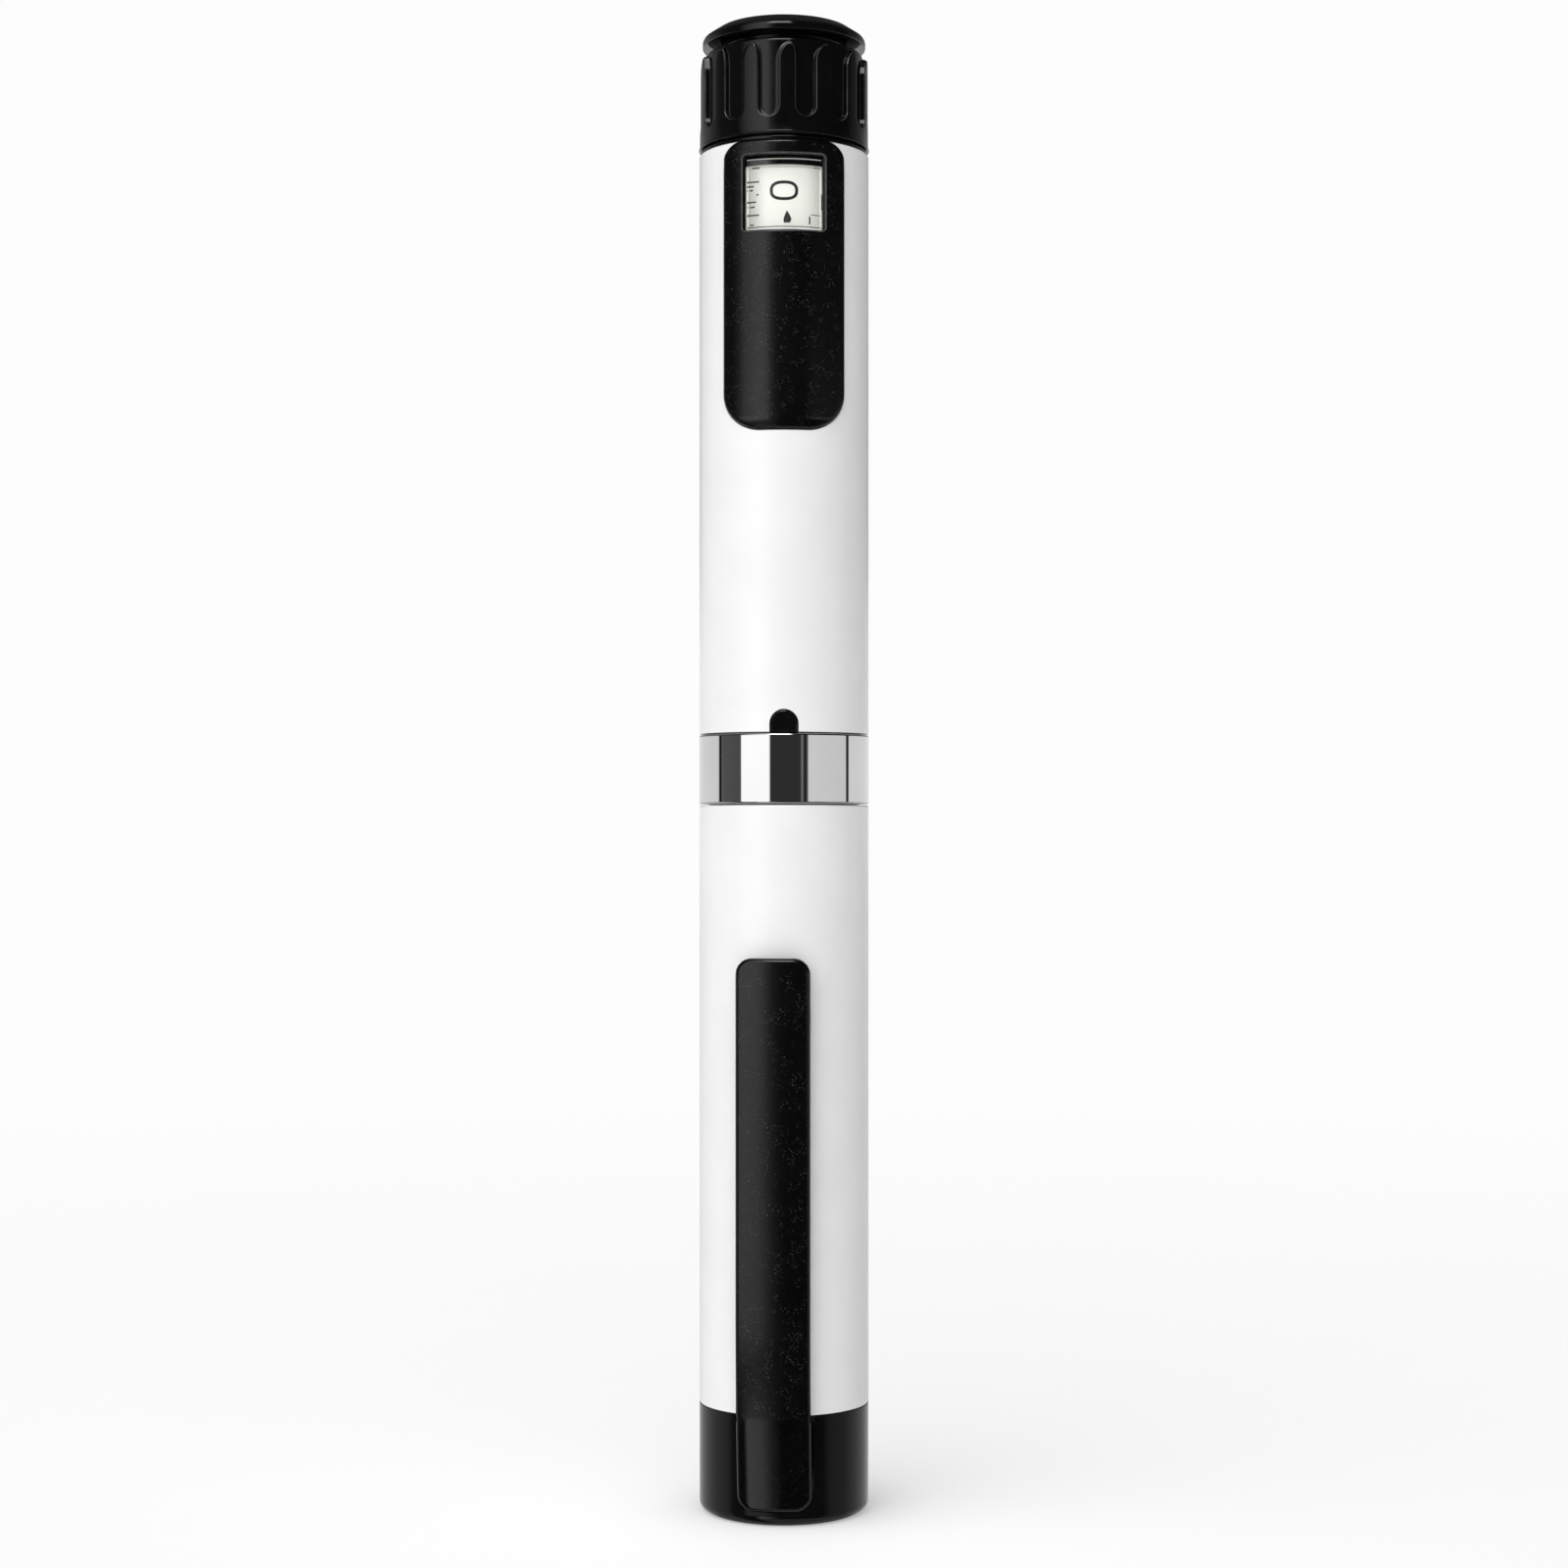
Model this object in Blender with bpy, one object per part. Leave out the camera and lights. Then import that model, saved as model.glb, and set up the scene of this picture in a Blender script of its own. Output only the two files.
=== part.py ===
# Reusable injection pen, capped and standing on the end of its cap.
# Metres, +Z up. The origin is the centre of the flat base, the dose window and the clip face -Y.

import math

import bmesh
import bpy
from mathutils import Matrix, Vector

MM = 0.001

# Fits between pieces
SLIP = 0.3 * MM            # running clearance between nested pieces
SEAM = 0.12 * MM           # hairline between pieces that meet in the outer skin

# Facets round a turned piece
SKIN_SIDES = 48
INNER_SIDES = 28
SMALL_SIDES = 24
DRUM_SIDES = 36
BUTTON_SIDES = 40

# Cartridge
CARTRIDGE_LENGTH = 64.8 * MM
GLASS_RADIUS = 5.8 * MM
GLASS_WALL = 0.98 * MM
NECK_RADIUS = 2.9 * MM
NECK_BORE = 1.6 * MM
CRIMP_WALL = 0.3 * MM
CRIMP_LENGTH = 6.2 * MM
CRIMP_LIP = 0.4 * MM       # lip turned in behind the glass flange
CRIMP_HOLE = 2.0 * MM
SEPTUM_THICKNESS = 1.6 * MM
NECK_REACH = 1.0 * MM      # bare neck between the crimp and the shoulder
SHOULDER_HEIGHT = 3.6 * MM
SHOULDER_FILLET = 1.2 * MM
STOPPER_LENGTH = 7.0 * MM
STOPPER_GROOVE = 0.45 * MM
STOPPER_RIBS = 3

# Cartridge holder
HOLDER_WALL = 0.9 * MM
SPIGOT_WALL = 0.55 * MM    # threaded needle seat round the cartridge's crimp
TIP_RIM = 0.6 * MM
TIP_HOLE = 3.2 * MM
TIP_FILLET = 0.3 * MM
HOLDER_FILLET = 0.6 * MM
HOLDER_STOP_HEIGHT = 2.7 * MM
SIGHT_WIDTH = 5.0 * MM     # sight openings in the holder's two sides
SIGHT_LENGTH = 34.0 * MM
SIGHT_START = 14.0 * MM    # above the holder's tip

# Cap
TUBE_WALL = 0.8 * MM
SKIN_EDGE = 0.15 * MM      # rounding on the cap's mouth and the button's lower edge
BASE_CORNER = 1.15 * MM
PLUG_FLOOR = 2.3 * MM
PLUG_WALL = 1.5 * MM
PLUG_HEIGHT = 11.9 * MM
PLUG_SPIGOT = 4.0 * MM
PLUG_FILLET = 0.8 * MM
TIP_SPACE = 12.2 * MM      # free height under the holder's tip

# Clip
CLIP_TURN = math.radians(-6.5)
CLIP_BOTTOM = 1.7 * MM
CLIP_TOP = 60.3 * MM
CLIP_WIDTH = 7.95 * MM
CLIP_CORNER = 1.75 * MM
CLIP_THICKNESS = 1.5 * MM
CLIP_EDGE = 0.2 * MM
CLIP_RISE = 20.5 * MM      # height over which the face curves out to its full thickness
CLIP_STANDOFF = 0.7 * MM
CLIP_SEAT_FLOOR = 0.1 * MM  # plug wall left in front of the cap's bore line
CLIP_ROOT_PROUD = 0.5 * MM
CLIP_CROWN = 14.0 * MM     # radius of the convex outer face
CLIP_NUB_DROP = 5.0 * MM   # grip rib under the tip
CLIP_NUB_WIDTH = 1.6 * MM
CLIP_PIVOT_RISE = 1.3 * MM

# Front collar, bright ring and barrel
COLLAR_WALL = 0.8 * MM
COLLAR_NECK = 6.1 * MM     # stretch that the cap slides over
SNAP_BEAD = 0.15 * MM
SNAP_BEAD_WIDTH = 1.4 * MM
CUSHION_THICKNESS = 1.6 * MM
WEB_THICKNESS = 2.0 * MM
RING_HEIGHT = 7.5 * MM
RING_PROUD = 0.05 * MM
RING_EDGE = 0.15 * MM
RING_STEP = 0.3 * MM       # ring's top lies this far under the web's top
TAB_WIDTH = 3.04 * MM
TAB_HEIGHT = 2.4 * MM
TAB_SUNK = 0.08 * MM
SPIGOT_HEIGHT = 2.0 * MM   # collar's spigot inside the chassis
BARREL_LENGTH = 62.7 * MM
CHASSIS_WALL = 0.8 * MM
FLANGE_THICKNESS = 0.35 * MM
FLANGE_SUNK = 0.2 * MM

# Window bezel and lens
BEZEL_WIDTH = 12.6 * MM
BEZEL_LENGTH = 30.6 * MM
BEZEL_PROUD = 0.4 * MM
BEZEL_LOW = 0.16 * MM      # how far the sloped lower end still stands proud
BEZEL_TOP_CORNER = 1.55 * MM
BEZEL_BOTTOM_CORNER = 3.85 * MM
BEZEL_SLOPE = 1.0 * MM     # sloped lower end
BEZEL_EDGE = 0.25 * MM
WINDOW_WIDTH = 8.1 * MM
WINDOW_HEIGHT = 7.4 * MM
WINDOW_DROP = 1.85 * MM    # clear opening's top under the bezel's top
WINDOW_BEVEL = 0.4 * MM
LENS_THICKNESS = 0.6 * MM
LENS_SUNK = 0.1 * MM

# Dose setting
DIAL_TURNS = 3
DIAL_LEAD = 8.0 * MM
DRUM_WALL = 1.1 * MM
DRUM_SPIGOT_WALL = 0.45 * MM
DRUM_SPIGOT = 2.7 * MM
BLACK_COLLAR = 2.2 * MM    # knob's neck below the barrel's top
GROOVE_DEPTH = 0.55 * MM
PEG_RADIUS = 0.6 * MM
PEG_LAND = 1.2 * MM        # groove left above the peg at full dose
GROOVE_STEPS = 16          # facets in one turn of the groove

# Drive
CLUTCH_WALL = 0.9 * MM
CLUTCH_FLANGE = 1.2 * MM
CLUTCH_SINK = 1.8 * MM     # clutch flange's top under the button's well
CLUTCH_RISE = 9.0 * MM     # clutch's lower end above the drum's
SLEEVE_WALL = 1.1 * MM
SLEEVE_FLANGE = 1.4 * MM
SLEEVE_OVER = 2.0 * MM     # sleeve's top above the rod's
RETAINER_HEIGHT = 1.8 * MM
NUT_HEIGHT = 6.0 * MM
BORE_RELIEF = 0.2 * MM
ROD_FLAT = 0.5 * MM        # depth of each of the rod's two flats
ROD_TRAVEL = 41.0 * MM
ROD_HOLD = 4.8 * MM        # rod still inside the nut at full travel
ROD_TIP = 1.4 * MM
ROD_TIP_STEP = 1.0 * MM
FOOT_THICKNESS = 2.2 * MM
FOOT_CHAMFER = 0.5 * MM
FOOT_GAP = 0.4 * MM

# Dose knob
KNOB_GAP = 0.18 * MM
KNOB_HEIGHT = 10.3 * MM
KNOB_UNDERSIZE = 0.05 * MM
FLUTES = 14
FLUTE_DEPTH = 0.6 * MM
FLUTE_WIDTH = 2.1 * MM
FLUTE_START = 1.9 * MM     # above the knob's lower edge
FLUTE_TURN = math.radians(-10.7)
FLUTE_WALL = 0.18 * MM     # run of a flute's side wall
ARCH_HEIGHT = 1.9 * MM
ARCH_DROP = 0.4 * MM       # land's arched end under the knob's top
LIP_HEIGHT = 0.4 * MM
LIP_FLARE = 0.1 * MM
KNOB_SHOULDER = 0.3 * MM
WELL_DEPTH = 5.8 * MM

# Injection button
BUTTON_GAP = 1.1 * MM
BUTTON_TRAVEL = 0.8 * MM
BUTTON_SIDE = 0.8 * MM
BUTTON_HEIGHT = 1.7 * MM
BUTTON_REACH = 0.3 * MM    # rim's radius short of the knob's
BUTTON_BEVEL = 0.6 * MM
BUTTON_FILLET = 0.25 * MM
BUTTON_STEM_WALL = 1.6 * MM
BUTTON_ROOF = 1.4 * MM
SPRING_WIRE = 0.3 * MM
SPRING_TURNS = 5

# Radii, from the cartridge outwards
holder_bore = GLASS_RADIUS + SLIP
holder_radius = holder_bore + HOLDER_WALL
collar_bore = holder_radius + SLIP
collar_radius = collar_bore + COLLAR_WALL
tube_bore = collar_radius + SLIP
body_radius = tube_bore + TUBE_WALL

# Radii, from the barrel inwards
chassis_radius = tube_bore - SLIP
chassis_bore = chassis_radius - CHASSIS_WALL
drum_radius = chassis_bore - SLIP
drum_bore = drum_radius - DRUM_WALL
clutch_flange_radius = drum_bore - SLIP
clutch_radius = clutch_flange_radius - SLIP
clutch_bore = clutch_radius - CLUTCH_WALL
sleeve_radius = clutch_bore - SLIP
nut_bore = sleeve_radius - SLEEVE_WALL
rod_radius = nut_bore - SLIP
spigot_radius = drum_radius
spigot_bore = drum_bore + 0.5 * SLIP

# Heights of the cartridge and its holder
holder_tip = PLUG_FLOOR + TIP_SPACE
crimp_face = holder_tip + TIP_RIM + SLIP
glass_top = crimp_face + CARTRIDGE_LENGTH
holder_top = glass_top - SLIP
crimp_bore = NECK_RADIUS + SLIP + CRIMP_LIP
crimp_radius = crimp_bore + CRIMP_WALL
flange_radius = crimp_bore - SLIP
septum_base = crimp_face + CRIMP_WALL + SLIP
flange_base = septum_base + SEPTUM_THICKNESS + SLIP
crimp_top = crimp_face + CRIMP_LENGTH
flange_top = crimp_top - CRIMP_WALL - SLIP
shoulder_base = crimp_top + NECK_REACH
shoulder_top = shoulder_base + SHOULDER_HEIGHT
seat_radius = crimp_radius + SLIP
needle_radius = seat_radius + SPIGOT_WALL

# Heights of the collar, the ring and the barrel
cushion_base = glass_top + SLIP
web_base = cushion_base + CUSHION_THICKNESS + SLIP
web_top = web_base + WEB_THICKNESS
ring_top = web_top - RING_STEP
ring_base = ring_top - RING_HEIGHT
cap_top = ring_base - SEAM
neck_base = cap_top - COLLAR_NECK
barrel_base = ring_top + SEAM
barrel_top = barrel_base + BARREL_LENGTH
collar_top = barrel_base + TAB_HEIGHT + SLIP
spigot_top = collar_top + SPIGOT_HEIGHT
chassis_base = collar_top + SLIP
flange_low = barrel_top + SEAM
chassis_top = flange_low + FLANGE_THICKNESS
bezel_top = barrel_top - SEAM / 2
bezel_base = bezel_top - BEZEL_LENGTH
window_top = bezel_top - WINDOW_DROP
window_base = window_top - WINDOW_HEIGHT
bezel_face = body_radius + BEZEL_PROUD

# Heights of the rod and the drive
foot_top = web_base - FOOT_GAP
foot_base = foot_top - FOOT_THICKNESS
stopper_top = foot_base - SLIP
stopper_base = stopper_top - STOPPER_LENGTH
sleeve_base = web_top + SLIP
sleeve_flange_top = sleeve_base + SLEEVE_FLANGE
nut_top = sleeve_base + NUT_HEIGHT
rod_base = foot_top + SLIP
rod_top = sleeve_base + ROD_TRAVEL + ROD_HOLD
sleeve_top = rod_top + SLEEVE_OVER

# Heights of the dial, the knob and the button
dial_travel = DIAL_TURNS * DIAL_LEAD
drum_base = spigot_top + SLIP
peg_height = drum_base + dial_travel + PEG_LAND
knob_base = chassis_top + KNOB_GAP
knob_top = knob_base + KNOB_HEIGHT
knob_neck = barrel_top - BLACK_COLLAR
drum_top = knob_neck - SLIP
drum_spigot_top = drum_top + DRUM_SPIGOT
well_floor = knob_top - WELL_DEPTH
clutch_top = well_floor - CLUTCH_SINK
clutch_base = drum_base + CLUTCH_RISE
button_base = knob_top + BUTTON_GAP
button_top = button_base + BUTTON_HEIGHT
land_radius = body_radius - KNOB_UNDERSIZE
floor_radius = land_radius - FLUTE_DEPTH
button_radius = land_radius - BUTTON_REACH
stem_radius = drum_radius - SLIP
stem_bore = stem_radius - BUTTON_STEM_WALL
stem_base = well_floor + BUTTON_TRAVEL + SLIP
spring_top = button_top - BUTTON_ROOF - SLIP

WELD = 1e-7


def clear_scene():
    for item in list(bpy.context.scene.objects):
        bpy.data.objects.remove(item, do_unlink=True)


def finish(name, colour, roughness, metallic=0.0, alpha=1.0):
    """Principled material with plain values."""
    material = bpy.data.materials.new(name)
    material.use_nodes = True
    shader = material.node_tree.nodes["Principled BSDF"]
    shader.inputs["Base Color"].default_value = (*colour, 1.0)
    shader.inputs["Roughness"].default_value = roughness
    shader.inputs["Metallic"].default_value = metallic
    shader.inputs["Alpha"].default_value = alpha
    return material


def make_object(name, mesh, origin=(0, 0, 0)):
    """Object from a bmesh in world places, with its origin where the piece turns."""
    bmesh.ops.translate(mesh, verts=mesh.verts, vec=-Vector(origin))
    bmesh.ops.recalc_face_normals(mesh, faces=mesh.faces)
    data = bpy.data.meshes.new(name)
    mesh.to_mesh(data)
    mesh.free()
    data.shade_smooth()
    data.set_sharp_from_angle(angle=math.radians(35))
    item = bpy.data.objects.new(name, data)
    item.location = origin
    bpy.context.scene.collection.objects.link(item)
    return item


def rounded(corners, steps=2):
    """Closed outline through (radius, height, fillet) corners."""
    outline = []
    for index, (radius, height, fillet) in enumerate(corners):
        corner = Vector((radius, height))
        if fillet == 0:
            outline.append(corner)
            continue
        before = Vector(corners[index - 1][:2]) - corner
        after = Vector(corners[(index + 1) % len(corners)][:2]) - corner
        half = before.angle(after) / 2
        middle = (before.normalized() + after.normalized()).normalized()
        centre = corner + middle * fillet / math.sin(half)
        start = corner + before.normalized() * fillet / math.tan(half) - centre
        turn = start.angle_signed(corner + after.normalized() * fillet / math.tan(half) - centre)
        for step in range(steps + 1):
            outline.append(centre + Matrix.Rotation(-turn * step / steps, 2) @ start)
    return outline


def turned(name, outline, sides=INNER_SIDES):
    """Solid turned about Z from a closed outline of (radius, height) points."""
    mesh = bmesh.new()
    points = [mesh.verts.new((point[0], 0, point[1])) for point in outline]
    edges = []
    for index, point in enumerate(points):
        if point.co.x > WELD or points[index - 1].co.x > WELD:
            edges.append(mesh.edges.new((points[index - 1], point)))
    bmesh.ops.spin(mesh, geom=points + edges, axis=(0, 0, 1), cent=(0, 0, 0),
                   angle=math.tau, steps=sides, use_merge=True)
    bmesh.ops.remove_doubles(mesh, verts=mesh.verts, dist=WELD)
    bmesh.ops.dissolve_degenerate(mesh, edges=mesh.edges, dist=WELD)
    return make_object(name, mesh)


def lofted(name, rings, origin=(0, 0, 0)):
    """Solid through rings with the same number of points, its two ends closed."""
    mesh = bmesh.new()
    loops = [[mesh.verts.new(point) for point in ring] for ring in rings]
    for lower, upper in zip(loops, loops[1:]):
        for index in range(len(lower)):
            mesh.faces.new((lower[index - 1], lower[index], upper[index], upper[index - 1]))
    mesh.faces.new(loops[0])
    mesh.faces.new(loops[-1])
    return make_object(name, mesh, origin)


def plate(name, heights, columns, place, origin=(0, 0, 0)):
    """Curved plate. place(across, height, front) gives a point, across runs from -1 to 1."""
    mesh = bmesh.new()
    span = [2 * column / columns - 1 for column in range(columns + 1)]
    sheets = []
    for front in (True, False):
        sheets.append([[mesh.verts.new(place(across, height, front)) for across in span]
                       for height in heights])
    for sheet in sheets:
        for lower, upper in zip(sheet, sheet[1:]):
            for index in range(columns):
                mesh.faces.new((lower[index], lower[index + 1], upper[index + 1], upper[index]))
    rims = []
    for sheet in sheets:
        rim = list(sheet[0]) + [row[-1] for row in sheet[1:]]
        rim += list(reversed(sheet[-1][:-1])) + [row[0] for row in reversed(sheet[1:-1])]
        rims.append(rim)
    for index in range(len(rims[0])):
        mesh.faces.new((rims[0][index - 1], rims[0][index], rims[1][index], rims[1][index - 1]))
    return make_object(name, mesh, origin)


def box(name, low, high):
    """Cutter block between two corners."""
    size = Vector(high) - Vector(low)
    centre = (Vector(high) + Vector(low)) / 2
    mesh = bmesh.new()
    bmesh.ops.create_cube(mesh, size=1, matrix=Matrix.Translation(centre) @ Matrix.Diagonal((*size, 1)))
    return make_object(name, mesh)


def combine(target, tool, operation):
    """Boolean of two closed solids; the tool stays behind as a hidden wire guide."""
    modifier = target.modifiers.new(tool.name, "BOOLEAN")
    modifier.operation = operation
    modifier.object = tool
    tool.hide_render = True
    tool.display_type = "WIRE"


def cut(target, tool):
    combine(target, tool, "DIFFERENCE")


def join(target, tool):
    combine(target, tool, "UNION")


def soften(target, width, segments=1):
    """Small bevel along the sharp edges."""
    modifier = target.modifiers.new("edge", "BEVEL")
    modifier.width = width
    modifier.segments = segments
    modifier.limit_method = "ANGLE"
    modifier.angle_limit = math.radians(50)


def circle(radius, height, sides, flat=None):
    """Ring of points; flat cuts both sides off at that distance from the axis."""
    ring = []
    for index in range(sides):
        angle = math.tau * index / sides
        across = radius * math.sin(angle)
        if flat is not None:
            across = max(-flat, min(flat, across))
        ring.append((radius * math.cos(angle), across, height))
    return ring


def corner_width(distance, half_width, corner):
    """Half width of a rounded plate at a distance from its end."""
    if distance >= corner:
        return half_width
    return half_width - corner + math.sqrt(max(corner ** 2 - (corner - distance) ** 2, 0))


def corner_heights(end, direction, corner, steps=4):
    """Heights through a rounded corner, from the plate's end inwards."""
    return [end + direction * corner * (1 - math.cos(math.pi / 2 * step / steps))
            for step in range(steps + 1)]


def make_cap(white, black, liner_grey):
    spigot = tube_bore - SLIP
    tube = turned("cap_tube", rounded([
        (tube_bore, PLUG_HEIGHT + SEAM, 0),
        (body_radius, PLUG_HEIGHT + SEAM, 0),
        (body_radius, cap_top, SKIN_EDGE),
        (tube_bore, cap_top, 0)]), SKIN_SIDES)
    tube.data.materials.append(white)

    plug = turned("cap_end_plug", rounded([
        (0, 0, 0),
        (body_radius, 0, BASE_CORNER),
        (body_radius, PLUG_HEIGHT, 0),
        (spigot, PLUG_HEIGHT, 0),
        (spigot, PLUG_HEIGHT + PLUG_SPIGOT, 0),
        (spigot - PLUG_WALL, PLUG_HEIGHT + PLUG_SPIGOT, 0),
        (spigot - PLUG_WALL, PLUG_FLOOR, PLUG_FILLET),
        (0, PLUG_FLOOR, 0)], 3), SKIN_SIDES)
    seat = spigot + CLIP_SEAT_FLOOR
    half = CLIP_WIDTH / 2 + SEAM
    recess = box("cutter_clip_seat", (-half, -2 * body_radius, CLIP_BOTTOM - SEAM),
                 (half, -seat, PLUG_HEIGHT + SEAM))
    recess.rotation_euler.z = CLIP_TURN
    cut(plug, recess)
    plug.data.materials.append(black)

    liner = turned("cap_liner", [
        (collar_bore, PLUG_HEIGHT + PLUG_SPIGOT + SLIP),
        (spigot, PLUG_HEIGHT + PLUG_SPIGOT + SLIP),
        (spigot, neck_base - HOLDER_STOP_HEIGHT - 2 * SLIP),
        (collar_bore, neck_base - HOLDER_STOP_HEIGHT - 2 * SLIP)])
    liner.data.materials.append(liner_grey)
    return seat


def make_clip(seat, black):
    """Pocket clip: a crowned strip rooted in the end plug, with a grip rib behind its tip."""
    root_back = seat + SLIP
    spring_back = body_radius + CLIP_STANDOFF
    root_top = PLUG_HEIGHT - 2 * SLIP
    nub_top = CLIP_TOP - CLIP_NUB_DROP
    nub_base = nub_top - 2 * CLIP_NUB_WIDTH
    full_height = CLIP_BOTTOM + CLIP_RISE
    turn = Matrix.Rotation(CLIP_TURN, 3, "Z")

    def back(height):
        if height <= root_top:
            return root_back
        if nub_base < height < nub_top:
            return body_radius + SLIP
        return spring_back

    def front(height):
        rise = min((height - CLIP_BOTTOM) / (full_height - CLIP_BOTTOM), 1)
        low = body_radius + CLIP_ROOT_PROUD
        high = spring_back + CLIP_THICKNESS
        return low + (high - low) * math.sin(rise * math.pi / 2)

    def place(across, height, is_front):
        ends = min(height - CLIP_BOTTOM, CLIP_TOP - height)
        width = corner_width(ends, CLIP_WIDTH / 2, CLIP_CORNER)
        crown = CLIP_CROWN - math.sqrt(CLIP_CROWN ** 2 - (across * width) ** 2)
        depth = front(height) - crown if is_front else back(height)
        return turn @ Vector((across * width, -depth, height))

    heights = corner_heights(CLIP_BOTTOM, 1, CLIP_CORNER)
    heights += [(heights[-1] + root_top) / 2, root_top, root_top + SLIP]
    heights += [(root_top + full_height) / 2, full_height, nub_base]
    heights += [nub_base + CLIP_NUB_WIDTH / 2, nub_top - CLIP_NUB_WIDTH / 2, nub_top]
    heights += reversed(corner_heights(CLIP_TOP, -1, CLIP_CORNER))
    pivot = turn @ Vector((0, -(root_back + CLIP_ROOT_PROUD), CLIP_BOTTOM + CLIP_PIVOT_RISE))
    clip = plate("clip", heights, 6, place, pivot)
    soften(clip, CLIP_EDGE)
    clip.data.materials.append(black)


def make_holder(clear_grey):
    taper = needle_radius - seat_radius
    stop_base = neck_base - SLIP - HOLDER_STOP_HEIGHT
    holder = turned("cartridge_holder", rounded([
        (TIP_HOLE, holder_tip, 0),
        (needle_radius, holder_tip, TIP_FILLET),
        (needle_radius, shoulder_base - taper, 0),
        (holder_radius, shoulder_top - taper, HOLDER_FILLET),
        (holder_radius, stop_base, 0),
        (collar_radius, stop_base, 0),
        (collar_radius, stop_base + HOLDER_STOP_HEIGHT, 0),
        (holder_radius, stop_base + HOLDER_STOP_HEIGHT, 0),
        (holder_radius, holder_top, 0),
        (holder_bore, holder_top, 0),
        (holder_bore, shoulder_top, 0),
        (seat_radius, shoulder_base, 0),
        (seat_radius, holder_tip + TIP_RIM, 0),
        (TIP_HOLE, holder_tip + TIP_RIM, 0)], 1))
    sight_base = holder_tip + SIGHT_START
    reach = 2 * holder_radius
    outline = []
    for end, start in ((sight_base + SIGHT_WIDTH / 2, math.pi),
                       (sight_base + SIGHT_LENGTH - SIGHT_WIDTH / 2, 0)):
        for step in range(9):
            angle = start + math.pi * step / 8
            outline.append((SIGHT_WIDTH / 2 * math.cos(angle), end + SIGHT_WIDTH / 2 * math.sin(angle)))
    sight = lofted("cutter_sights", [[(side * reach, across, height) for across, height in outline]
                                     for side in (-1, 1)])
    cut(holder, sight)
    holder.data.materials.append(clear_grey)


def make_cartridge(glass_clear, aluminium, rubber_grey, rubber_dark):
    bore = GLASS_RADIUS - GLASS_WALL
    glass = turned("cartridge_glass", rounded([
        (NECK_BORE, flange_base, 0),
        (flange_radius, flange_base, 0),
        (flange_radius, flange_top, 0),
        (NECK_RADIUS, flange_top, 0),
        (NECK_RADIUS, shoulder_base, 0),
        (GLASS_RADIUS, shoulder_top + SLIP, SHOULDER_FILLET),
        (GLASS_RADIUS, glass_top, 0),
        (bore, glass_top, 0),
        (bore, shoulder_top + GLASS_WALL, SHOULDER_FILLET),
        (NECK_BORE, shoulder_base + GLASS_WALL, 0)]))
    glass.data.materials.append(glass_clear)

    crimp = turned("cartridge_crimp", [
        (CRIMP_HOLE, crimp_face),
        (crimp_radius, crimp_face),
        (crimp_radius, crimp_top),
        (NECK_RADIUS + SLIP, crimp_top),
        (NECK_RADIUS + SLIP, crimp_top - CRIMP_WALL),
        (crimp_bore, crimp_top - CRIMP_WALL),
        (crimp_bore, crimp_face + CRIMP_WALL),
        (CRIMP_HOLE, crimp_face + CRIMP_WALL)], SMALL_SIDES)
    crimp.data.materials.append(aluminium)

    septum = turned("cartridge_septum", [
        (0, septum_base),
        (flange_radius, septum_base),
        (flange_radius, septum_base + SEPTUM_THICKNESS),
        (0, septum_base + SEPTUM_THICKNESS)], SMALL_SIDES)
    septum.data.materials.append(rubber_grey)

    radius = bore - SLIP
    pitch = STOPPER_LENGTH / STOPPER_RIBS
    outline = [(0, stopper_base), (radius - STOPPER_GROOVE, stopper_base)]
    for rib in range(STOPPER_RIBS):
        low = stopper_base + rib * pitch
        outline += [(radius, low + 0.2 * pitch), (radius, low + 0.7 * pitch)]
        outline += [(radius - STOPPER_GROOVE, low + pitch)]
    outline += [(0, stopper_top)]
    stopper = turned("cartridge_stopper", outline, SMALL_SIDES)
    stopper.data.materials.append(rubber_dark)


def make_collar(black):
    """Front collar: cap neck with a snap bead, seat of the bright ring, rod guide and key tab."""
    bead = (neck_base + cap_top) / 2
    half = SNAP_BEAD_WIDTH / 2
    collar = turned("front_collar", [
        (collar_bore, neck_base),
        (collar_radius, neck_base),
        (collar_radius, bead - half),
        (collar_radius + SNAP_BEAD, bead),
        (collar_radius, bead + half),
        (collar_radius, collar_top),
        (spigot_radius, collar_top),
        (spigot_radius, spigot_top),
        (spigot_bore, spigot_top),
        (spigot_bore, web_top),
        (0, web_top),
        (0, web_base),
        (collar_bore, web_base)])
    key = rod_radius - ROD_FLAT + SLIP
    guide = lofted("cutter_rod_guide", [circle(rod_radius + SLIP, height, SMALL_SIDES, key)
                                        for height in (web_base - SLIP, web_top + SLIP)])
    tab = tab_block("collar_key_tab", TAB_WIDTH / 2, body_radius - TAB_SUNK, barrel_base, TAB_HEIGHT)
    join(collar, tab)
    cut(collar, guide)
    collar.data.materials.append(black)


def tab_block(name, radius, reach, base, height):
    """Upright block with a half round top, from inside the collar's wall out to reach."""
    spring = base + height - radius
    outline = [(-radius, base), (radius, base)]
    for step in range(9):
        angle = math.pi * step / 8
        outline.append((radius * math.cos(angle), spring + radius * math.sin(angle)))
    inner = collar_radius - COLLAR_WALL / 2
    return lofted(name, [[(across, -depth, level) for across, level in outline]
                         for depth in (reach, inner)])


def make_ring(chrome):
    radius = body_radius + RING_PROUD
    ring = turned("chrome_ring", [
        (tube_bore, ring_base),
        (radius - RING_EDGE, ring_base),
        (radius, ring_base + RING_EDGE),
        (radius, ring_top - RING_EDGE),
        (radius - RING_EDGE, ring_top),
        (tube_bore, ring_top)], SKIN_SIDES)
    ring.data.materials.append(chrome)


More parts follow.
